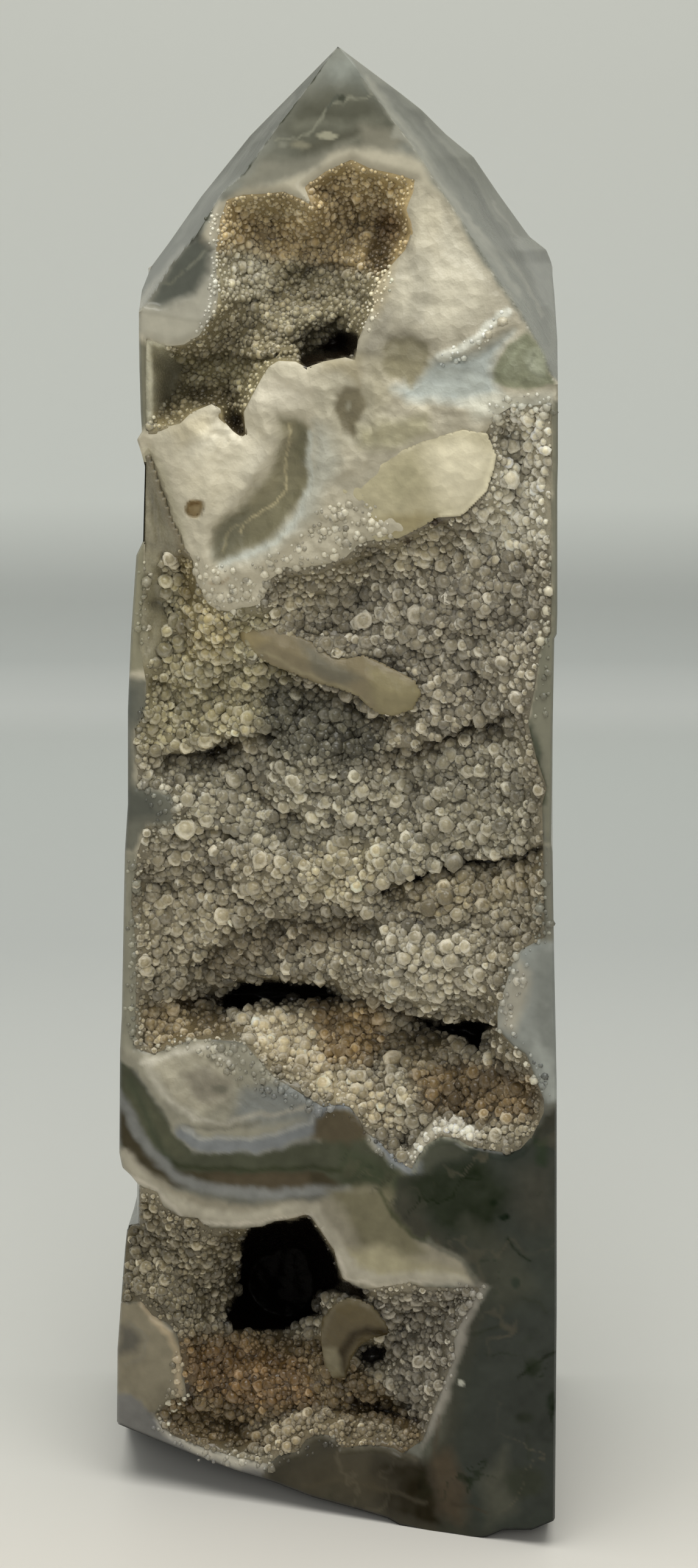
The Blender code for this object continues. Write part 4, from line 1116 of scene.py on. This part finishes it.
def tower(finish):
    """The polished stone: quads between its closed rings, left open where a well is closed by a flat floor,
    and fans of triangles to the apex and to the middle of the foot."""
    grid = front_places()
    places = grid.reshape(-1, 2).copy()
    sunk, keep, well, sugary = sunk_front(places)
    rows = ROWS - 1
    rings = stone_rings(grid, on_sight(places, skin(places) + sunk).reshape(rows, COLUMNS, 3))
    count, n = rings.shape[:2]

    def spread(values, rest):
        """Values of the front's places as values of all points, where the others have the rest."""
        whole = np.full(count * n + 2, rest)
        whole[: rows * n].reshape(rows, n)[:, :COLUMNS] = values.reshape(rows, COLUMNS)
        return whole

    verts = np.concatenate((rings.reshape(-1, 3), (APEX, GROUND)))
    ring = np.arange(count * n).reshape(count, n)
    after = np.roll(ring, -1, axis=1)
    quads = np.stack((ring[:-1], ring[1:], after[1:], after[:-1]), axis=2).reshape(-1, 4)
    quads = quads[spread(keep, True)[quads].all(1)]
    apex, ground = np.full(n, count * n), np.full(n, count * n + 1)
    top, bottom = (apex, ring[0], after[0]), (ground, after[-1], ring[-1])
    fans = np.concatenate((np.column_stack(top), np.column_stack(bottom)))
    used = np.unique(np.concatenate((quads.ravel(), fans.ravel())))
    order = np.zeros(len(verts), int)
    order[used] = np.arange(len(used))

    # every point but the front's and the sides' gets the near-black painted shade: the bevel, the foot, the
    # apex and the foot's middle
    tone = np.tile(tint(SHADED_UNDERSIDE), (len(verts), 1))
    shown = tone[: rows * n].reshape(rows, n, 3)
    shown[:, :COLUMNS] = front_tone(places).reshape(rows, COLUMNS, 3)
    shown[:, COLUMNS:] = side_tone(rings[:rows, COLUMNS:].reshape(-1, 3)).reshape(rows, -1, 3)
    grit = spread(sugary, 0.0)
    grit[rows * n:] = 1
    faces = order[quads].tolist() + order[fans].tolist()
    thing = surface("polished_tower", verts[used], faces, tone[used], finish, 40, grit[used])
    close_wells(thing, np.flatnonzero(spread(well, False)[used]))
    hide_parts("tower")


def close_wells(thing, deep):
    """Closes each open well with a flat floor between its deep corners, and turns every face outwards."""
    work = bmesh.new()
    work.from_mesh(thing.data)
    work.verts.ensure_lookup_table()
    corners = {work.verts[k] for k in deep.tolist()}
    rim = [e for e in work.edges if len(e.link_faces) == 1 and corners.issuperset(e.verts)]
    bmesh.ops.triangle_fill(work, edges=rim, normal=Vector(AWAY), use_beauty=True)
    bmesh.ops.recalc_face_normals(work, faces=list(work.faces))
    if work.calc_volume(signed=True) < 0:
        bmesh.ops.reverse_faces(work, faces=list(work.faces))
    work.to_mesh(thing.data)
    work.free()


def crust(name, hollow, finish):
    """The ground that the crystals stand on: a lattice over the hollow, a little wider than its outline,
    sunk to the hollow's depth, with a thickness behind it."""
    outline = np.array(hollow["outline"], float)
    places, shape = lattice(outline, 15, CRUST_STEP)
    inside = outline_distance(places, outline)[0]
    left, right = across(places[:, 1], LEFT_EDGE), across(places[:, 1], RIGHT_EDGE)
    keep = (inside > -1.6 * CRUST_STEP) & (places[:, 0] > left - CRUST_STEP) & (places[:, 0] < right)
    places[:, 0] = np.clip(places[:, 0], left + 1.5, right - 1.5)
    depth = bowl_depth(places, hollow) + 0.25 * MM * noise(places, 12, 91, 2) * (inside > 4)
    points = on_sight(places, skin(places) + np.clip(depth, RIM_DEPTH, None))
    # painted shade: the ground between the crystals is darkened, most in the valleys between the clusters
    shade = 0.8 * (0.62 + 0.38 * clusters(places, hollow)) * (0.9 + 0.15 * noise(places, 14, 92, 2))
    tone = paint(places, np.tile(tint(DRUZY), (len(places), 1)), CRYSTAL_COLOURS_AND_SHADE) * shade[:, None]
    quads, used = covered(keep, shape)
    tone = own_colour(tone, hollow["light"])[used]
    thing = surface(f"{name}_ground", points[used], quads.tolist(), tone, finish)
    back = thing.modifiers.new("Thickness", "SOLIDIFY")
    back.thickness = 0.7 * MM
    back.offset = -1
    return thing


def ball_template(sides, rings):
    """A faceted ball, its pole towards +Z: rings of points at the given angles from the pole, and both
    poles."""
    turn = np.arange(sides) * 2 * math.pi / sides
    points = [(0.0, 0.0, 1.0)]
    for k, ring in enumerate(rings):
        wide, high = math.sin(math.radians(ring)), math.cos(math.radians(ring))
        points += [(wide * math.cos(t + 0.4 * k), wide * math.sin(t + 0.4 * k), high) for t in turn]
    points.append((0.0, 0.0, -1.0))
    faces = [(0, 1 + s, 1 + (s + 1) % sides) for s in range(sides)]
    for k in range(len(rings) - 1):
        a, b = 1 + k * sides, 1 + (k + 1) * sides
        for s in range(sides):
            t = (s + 1) % sides
            faces += [(a + s, b + s, b + t), (a + s, b + t, a + t)]
    a, last = 1 + (len(rings) - 1) * sides, len(points) - 1
    faces += [(last, a + (s + 1) % sides, a + s) for s in range(sides)]
    return np.array(points), np.array(faces)


# Painted rim sheen and shade on each ring of a crystal's ball, by how many rings it has: lighter on the rings
# round its side as the eye sees it, darker on the ring beyond
RIM_SHEEN = {3: (0.3, 1.0, -0.5), 4: (0.0, 1.0, 0.7, -0.5)}


def crystal_places(hollow, spacing, radius, zones, share, rng):
    """A share of a jittered lattice over the hollow, or over zones of it, clear of the stone's edges, of
    the bare places and of the holes painted black as shade. Also how far inside each is, and its colour as it
    looks."""
    outlines = zones or (hollow["outline"],)
    ends = np.concatenate([np.array(outline, float) for outline in outlines])
    low, high = ends.min(0), ends.max(0)
    x, y = np.meshgrid(np.arange(low[0], high[0], spacing), np.arange(low[1], high[1], spacing * 0.88))
    x = x + (np.arange(x.shape[0]) % 2 * spacing / 2)[:, None]
    places = np.column_stack((x.ravel(), y.ravel())) + rng.uniform(-0.45, 0.45, (x.size, 2)) * spacing
    inside = np.max([outline_distance(places, outline)[0] for outline in outlines], axis=0)
    left, right = across(places[:, 1], LEFT_EDGE), across(places[:, 1], RIGHT_EDGE)
    fits = (inside > radius / MM * PIXELS_PER_MM * 0.2) & (rng.random(len(places)) < share)
    fits &= (places[:, 0] > left + EDGE_STRIP) & (places[:, 0] < right - EDGE_STRIP)
    if not zones:
        for bare in BARE:
            fits &= outline_distance(places, bare)[0] < 0
    places, inside = places[fits], inside[fits]
    base = paint(places, np.tile(tint(DRUZY), (len(places), 1)), CRYSTAL_COLOURS_AND_SHADE)
    lit = base.mean(1) > 0.012
    return places[lit], inside[lit], base[lit]


def crystals(name, hollow, spacing, radius, seed, finish, proud=-0.12, zones=None, share=1.0, rim_sheen=1.25,
             sides=8, rings=(30, 56, 78, 114), spread=0.3, painted_glint=0.42):
    """Round crystals, each a faceted ball that looks out of the hollow, with a clear middle, a painted sheen
    on its rim as the eye sees it, and painted shade beyond the rim. Radii vary by the spread, every point of
    a ball is moved in or out a little, and one crystal in five is painted brighter, partly as a painted
    glint."""
    rng = np.random.default_rng(seed)
    places, inside, base = crystal_places(hollow, spacing, radius, zones, share, rng)
    count = len(places)
    size = radius * np.exp(rng.normal(0, spread, count)) * np.clip(0.5 + inside / 50, 0, 1)
    size = np.clip(size, 0, 1.6 * radius)
    depth = bowl_depth(places, hollow) - size * (proud + 0.5 * rng.random(count) ** 3)
    if zones:
        outside = outline_distance(places, hollow["outline"])[0] <= 1
        depth[outside] = stone_relief(places[outside])[0] + 0.3 * size[outside]
        base = paint(places, np.tile(tint(CREAM), (count, 1)), STONE_MARKS) * 0.72
    else:
        depth = np.clip(depth, size * 0.6, None)
    centres = on_sight(places, skin(places) + depth)

    ball, faces = ball_template(sides, rings)
    turn = rng.uniform(0, 2 * math.pi, count)
    tilt = rng.normal(0, 0.2, (count, 2))
    outward = -sight_lines(places) + tilt[:, :1] * RIGHT + (tilt[:, 1:] + 0.08) * UP
    outward /= np.linalg.norm(outward, axis=1, keepdims=True)
    first = np.cross(outward, (0.0, 0.0, 1.0))
    first /= np.linalg.norm(first, axis=1, keepdims=True)
    second = np.cross(outward, first)
    one = first * np.cos(turn)[:, None] + second * np.sin(turn)[:, None]
    two = np.cross(outward, one)
    rough = 1 + rng.normal(0, 0.09, (count, len(ball)))
    shape = ball[None] * rough[..., None] * (1, 1, 0.8)
    points = shape[..., :1] * one[:, None] + shape[..., 1:2] * two[:, None]
    points += shape[..., 2:] * outward[:, None]
    points = centres[:, None] + points * size[:, None, None]

    # painted light and shade: crystals high on a cluster are painted lighter, those in its valleys darker
    valley_shade = 0.91 + hollow["contrast"] * (clusters(places, hollow) - 0.6) + 0.14 * noise(places, 50, 17, 2)
    # one crystal in five is painted brighter: partly a brighter crystal, partly a painted glint
    stands_out = rng.random(count) < 0.2
    bright = (1 if zones else valley_shade) * rng.normal(1, 0.19, count) + painted_glint * stands_out
    # painted rim sheen: the rings round each ball's side, as seen from the eye, are painted lighter by a
    # random share, more on the brighter fifth; the ring beyond and the far pole are painted darker as shade
    ring = np.concatenate(([0.0], np.repeat(RIM_SHEEN[len(rings)], sides), [-0.6]))
    sheen_share = rng.uniform(0.2, 1.0, (count, 1)) * (1 + 0.8 * stands_out[:, None])
    shades = bright[:, None] * (0.84 + rim_sheen * ring * np.where(ring > 0, sheen_share, 0.8))
    shades *= 1 + rng.normal(0, 0.08, shades.shape)
    tone = own_colour(base, hollow["light"])[:, None] * np.clip(shades, 0.1, None)[..., None]
    # the brightest are dimmed without a change of hue, and the painted rim sheen has less colour than the
    # crystal under it
    tone *= np.minimum(1, (0.66 + 0.25 * tone.max(2, keepdims=True)) / tone.max(2, keepdims=True))
    if not zones:
        tone += (tone.mean(2, keepdims=True) - tone) * 0.4 * np.clip(ring, 0, 1)[None, :, None]
    index = (faces[None] + np.arange(count)[:, None, None] * len(ball)).reshape(-1, 3)
    return surface(name, points.reshape(-1, 3), index.tolist(), tone.reshape(-1, 3), finish)


def shell(name, hollow, outline, depth, bulge, reach, marks, finish, thick=0.5, step=3.2):
    """A smooth shell of agate as a closed lens: a lattice over the outline, its rim brought onto it, whose
    front rises from the rim by the bulge in millimetres over the reach in pixels, and whose back lies
    behind by the thickness."""
    outline = np.array(outline, float)
    places, shape = lattice(outline, step, step)
    inside, closest = outline_distance(places, outline)
    rim = abs(inside) < 0.55 * step
    places[rim], inside[rim] = closest[rim], 0
    quads, used = covered(inside > -ON_RIM, shape)
    places, inside = places[used], np.clip(inside[used], 0, None)
    n = len(places)
    edges = np.concatenate([quads[:, [k, (k + 1) % 4]] for k in range(4)])
    border = edges[~np.isin(edges @ (n, 1), edges @ (1, n))]
    walls = np.column_stack((border[:, ::-1], border + n))
    faces = np.concatenate((quads, quads[:, ::-1] + n, walls))
    rise = 1 - np.exp(-inside / reach)
    waves = 0.2 * noise(places, 34, 5, 2) + 0.07 * noise(places, 11, 6, 1)
    front = skin(places) + (depth(*places.T) + (waves - bulge) * rise) * MM
    points = np.concatenate((on_sight(places, front), on_sight(places, front + (0.12 + thick * rise) * MM)))
    base, shades = marks
    tone = paint(places, np.tile(tint(base), (n, 1)), shades) * (1 + 0.1 * noise(places, 16, 6, 3))[:, None]
    tone = np.tile(own_colour(tone, STONE_LIGHT, GLOSS), (2, 1))
    thing = surface(name, points, faces.tolist(), tone, finish, None, 0.6)
    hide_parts(CRUST_NODES[hollow])


def wire(made, sockets):
    """Joins a node's input sockets, by name or number, to outputs, or sets them to values."""
    for key, value in sockets.items():
        if isinstance(value, bpy.types.NodeSocket):
            made.id_data.links.new(value, made.inputs[key])
        else:
            made.inputs[key].default_value = value


def node(tree, kind, sockets=None, **values):
    """A new node with these values, and its sockets wired."""
    made = tree.nodes.new(kind)
    for key, value in values.items():
        setattr(made, key, value)
    wire(made, sockets or {})
    return made


def grain_group():
    """Fine grain of a size in millimetres: a shade around 1 from value noise, and a height from noise and
    cells."""
    group = bpy.data.node_groups.new("Grain", "ShaderNodeTree")
    for way, names in (("INPUT", ("Size", "Contrast")), ("OUTPUT", ("Shade", "Height"))):
        for name in names:
            group.interface.new_socket(name, in_out=way, socket_type="NodeSocketFloat")
    given = node(group, "NodeGroupInput").outputs
    scale = node(group, "ShaderNodeMath", {0: 1000.0, 1: given["Size"]}, operation="DIVIDE")
    at = {"Vector": node(group, "ShaderNodeTexCoord").outputs["Object"], "Scale": scale.outputs[0]}
    coarse = node(group, "ShaderNodeTexNoise", dict(at, Detail=3.0, Roughness=0.6)).outputs["Fac"]
    fine = node(group, "ShaderNodeTexVoronoi", at).outputs["Distance"]
    spread = node(group, "ShaderNodeMath", {0: coarse, 1: 0.5}, operation="SUBTRACT").outputs[0]
    shade = node(group, "ShaderNodeMath", {0: spread, 1: given["Contrast"], 2: 1.0}, operation="MULTIPLY_ADD")
    height = node(group, "ShaderNodeMath", {0: coarse, 1: fine}, operation="ADD")
    node(group, "NodeGroupOutput", {"Shade": shade.outputs[0], "Height": height.outputs[0]})
    return group


def finish(name, grain, size, contrast, bump, roughness, spread, specular=0.5, scatter=0.0):
    """A stone finish: the piece's own colours, shaded and roughened by the grain. Grit makes it matter and
    bumpier, and what is painted black has no gloss."""
    made = bpy.data.materials.new(name)
    made.use_nodes = True
    tree = made.node_tree
    tone = node(tree, "ShaderNodeAttribute", attribute_name="tone").outputs["Color"]
    grit = node(tree, "ShaderNodeAttribute", attribute_name="grit").outputs["Fac"]
    speck = node(tree, "ShaderNodeGroup", {"Size": size, "Contrast": contrast}, node_tree=grain)
    shade, height = speck.outputs["Shade"], speck.outputs["Height"]
    shaded = node(
        tree, "ShaderNodeMix", {"Factor": 1.0, "A": tone, "B": shade}, data_type="RGBA", blend_type="MULTIPLY"
    )
    low, high = roughness - spread, roughness + spread
    span = {"Value": shade, "From Min": 0.6, "From Max": 1.4, "To Min": low, "To Max": high}
    rough = node(tree, "ShaderNodeMapRange", span).outputs["Result"]
    matt = node(tree, "ShaderNodeMath", {0: grit, 1: 0.16, 2: rough}, operation="MULTIPLY_ADD")
    strength = node(tree, "ShaderNodeMath", {0: grit, 1: 0.45, 2: bump}, operation="MULTIPLY_ADD").outputs[0]
    distance = size * MM * 0.3
    relief = node(tree, "ShaderNodeBump", {"Strength": strength, "Distance": distance, "Height": height})
    gloss = node(tree, "ShaderNodeMapRange", {"Value": tone, "From Max": 0.02, "To Max": specular})
    wire(tree.nodes["Principled BSDF"], {
        "Base Color": shaded.outputs["Result"], "Roughness": matt.outputs[0],
        "Normal": relief.outputs["Normal"], "Specular IOR Level": gloss.outputs["Result"],
        "Subsurface Weight": scatter, "Subsurface Radius": (1.0, 0.9, 0.75), "Subsurface Scale": 0.6 * MM,
    })
    return made


# The box's card from its front edge over the floor and up the wall: share of the way, colour. The colours are
# painted light and shade: lighter at the front of the floor, darker towards its back and in a band where it
# turns up into the wall, and lighter again up the wall
BOX_TONES_AND_PAINTED_LIGHT = (
    (0.12, (226, 222, 214)), (0.19, (220, 220, 215)), (0.37, (191, 194, 192)), (0.46, (196, 200, 197)),
    (0.495, (198, 201, 198)), (0.52, (182, 186, 183)), (0.56, (192, 195, 192)), (0.6, (221, 224, 220)),
    (0.8, (214, 216, 211)),
)


def light_box():
    """Floor, cove and wall as one profile across: it runs forward on the floor, turns up behind the stone
    in a quarter circle, and climbs. From behind, the card is clear, so that the stone's back can be looked
    at."""
    turn = np.linspace(0, math.pi / 2, 9)
    cove = np.column_stack((0.185 + 0.012 * np.sin(turn), 0.012 - 0.012 * np.cos(turn)))
    profile = np.concatenate((((-0.8, 0.0), (-0.1, 0.0), (0.1, 0.0)), cove, ((0.197, 0.7),)))
    width = np.array((-0.7, -0.2, 0.2, 0.7))
    points = np.column_stack((np.tile(width, len(profile)), np.repeat(profile, len(width), axis=0)))
    faces = covered(np.ones(len(points), bool), (len(profile), len(width)))[0][:, ::-1]
    mesh = bpy.data.meshes.new("light_box")
    mesh.from_pydata(points.tolist(), [], faces.tolist())
    mesh.shade_smooth()
    thing = bpy.data.objects.new("light_box", mesh)
    bpy.context.scene.collection.objects.link(thing)

    made = bpy.data.materials.new("Pale card")
    made.use_nodes = True
    tree = made.node_tree
    place = node(tree, "ShaderNodeTexCoord").outputs["Object"]
    split = node(tree, "ShaderNodeSeparateXYZ", {0: place}).outputs
    parts = []
    for axis, start, end in (("Y", -0.1, 0.197), ("Z", 0.0, 0.12)):
        span = {"Value": split[axis], "From Min": start, "From Max": end, "To Max": 0.5}
        parts.append(node(tree, "ShaderNodeMapRange", span).outputs["Result"])
    along = node(tree, "ShaderNodeMath", {0: parts[0], 1: parts[1]}, operation="ADD")
    ramp = node(tree, "ShaderNodeValToRGB", {"Fac": along.outputs[0]})
    stops = ramp.color_ramp.elements
    stops[0].position, stops[1].position = BOX_TONES_AND_PAINTED_LIGHT[0][0], BOX_TONES_AND_PAINTED_LIGHT[-1][0]
    for stop, (position, colour) in enumerate(BOX_TONES_AND_PAINTED_LIGHT):
        if 0 < stop < len(BOX_TONES_AND_PAINTED_LIGHT) - 1:
            stops.new(position)
        stops[stop].color = (*tint(colour), 1)
    shader = tree.nodes["Principled BSDF"]
    wire(shader, {"Base Color": ramp.outputs["Color"], "Roughness": 0.55, "Specular IOR Level": 0.3})
    side = node(tree, "ShaderNodeNewGeometry").outputs["Backfacing"]
    clear = node(tree, "ShaderNodeBsdfTransparent").outputs[0]
    either = node(tree, "ShaderNodeMixShader", {0: side, 1: shader.outputs[0], 2: clear})
    wire(tree.nodes["Material Output"], {"Surface": either.outputs[0]})
    mesh.materials.append(made)


def add_light(name, place, aim, size, power, colour):
    """A rectangular lamp that looks from its place to its aim."""
    lamp = bpy.data.lights.new(name, "AREA")
    lamp.shape = "RECTANGLE"
    lamp.size, lamp.size_y = size
    lamp.energy = power
    lamp.color = colour
    thing = bpy.data.objects.new(name, lamp)
    thing.location = place
    thing.rotation_euler = (Vector(aim) - Vector(place)).to_track_quat("-Z", "Y").to_euler()
    bpy.context.scene.collection.objects.link(thing)


def studio():
    """An even grey world, two lamps, and the camera at EYE."""
    scene = bpy.context.scene
    world = bpy.data.worlds.new("Studio")
    scene.world = world
    world.use_nodes = True
    wire(world.node_tree.nodes["Background"], {"Color": (0.86, 0.87, 0.85, 1), "Strength": 0.36})
    scene.view_settings.view_transform = "Standard"
    add_light("Overhead", (0.0, -0.09, 0.42), (0.0, -0.01, 0.08), (0.34, 0.26), 1.25, (1.0, 0.99, 0.95))
    add_light("Front", (-0.05, -0.8, 0.42), (0.0, 0.0, 0.07), (0.5, 0.3), 1.0, (1.0, 0.99, 0.96))
    camera = bpy.data.cameras.new("Camera")
    camera.sensor_width = SENSOR
    camera.lens = SENSOR * FOCUS / PICTURE[1]
    camera.clip_start = 0.01
    thing = bpy.data.objects.new("Camera", camera)
    thing.location = EYE
    thing.rotation_euler = Vector(AWAY).to_track_quat("-Z", "Y").to_euler()
    scene.collection.objects.link(thing)
    scene.camera = thing


def build():
    """The stone, then each hollow's ground and crystals, the three shells, and the studio."""
    grain = grain_group()
    polish = finish("Polished agate", grain, 1.1, 0.3, 0.05, 0.24, 0.06, specular=0.3)
    druzy = finish("Frosted crystals", grain, 0.22, 0.4, 0.22, 0.27, 0.1, scatter=0.4)
    tower(polish)
    made = {name: [crust(name, hollow, druzy)] for name, hollow in HOLLOWS.items()}
    upper, middle, pocket = HOLLOWS["upper"], HOLLOWS["middle"], HOLLOWS["pocket"]
    fine = dict(sides=6, rings=(40, 72, 110), rim_sheen=0.7)
    soft = dict(fine, rim_sheen=0.25, share=0.8)
    loose = dict(soft, spread=0.45)
    big = dict(proud=0.1, share=0.4, spread=0.15)
    made["upper"] += [
        crystals("upper_crystals", upper, 8.0, 0.25 * MM, 1, druzy, painted_glint=0.2, **dict(fine, rim_sheen=0.5)),
        crystals("upper_large_crystals", upper, 20.0, 0.36 * MM, 11, druzy, share=0.5, rim_sheen=0.7),
        crystals("upper_rim_crystals", upper, 8.0, 0.22 * MM, 12, druzy, zones=UPPER_FRINGE, **soft),
    ]
    made["middle"] += [
        crystals("middle_crystals", middle, 15.0, 0.43 * MM, 2, druzy, sides=7),
        crystals("middle_small_crystals", middle, 11.5, 0.27 * MM, 4, druzy, proud=0.1, **fine),
        crystals("middle_large_crystals", middle, 34.0, 0.6 * MM, 3, druzy, **big),
        crystals("rim_crystals", middle, 11.0, 0.3 * MM, 6, druzy, zones=MIDDLE_FRINGE, **loose),
    ]
    made["pocket"] += [
        crystals("pocket_crystals", pocket, 13.5, 0.4 * MM, 5, druzy),
        crystals("pocket_small_crystals", pocket, 10.0, 0.24 * MM, 8, druzy, proud=0.2, **fine),
        crystals("pocket_rim_crystals", pocket, 11.0, 0.3 * MM, 9, druzy, zones=POCKET_FRINGE, **loose),
    ]
    thinning = lambda x, y: 0.35 - 0.35 * np.clip((x - 560) / 200, 0, 1)
    shell("upper_flap", "middle", FLAP, thinning, 0.6, 40, FLAP_COLOURS_AND_PAINTED_LIGHT, polish)
    shell("lower_flap", "middle", LOWER_FLAP, lambda x, y: 1.5 + 0 * x, 1.1, 24, LOWER_FLAP_MARKS, polish)
    shell("pocket_shell", "pocket", EAR, lambda x, y: 0.6 + (y - 2140) * 0.012, 1.1, 24, EAR_MARKS, polish)
    for name, pieces in made.items():
        for piece in pieces:
            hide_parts(CRUST_NODES[name])
    light_box()
    studio()


build()
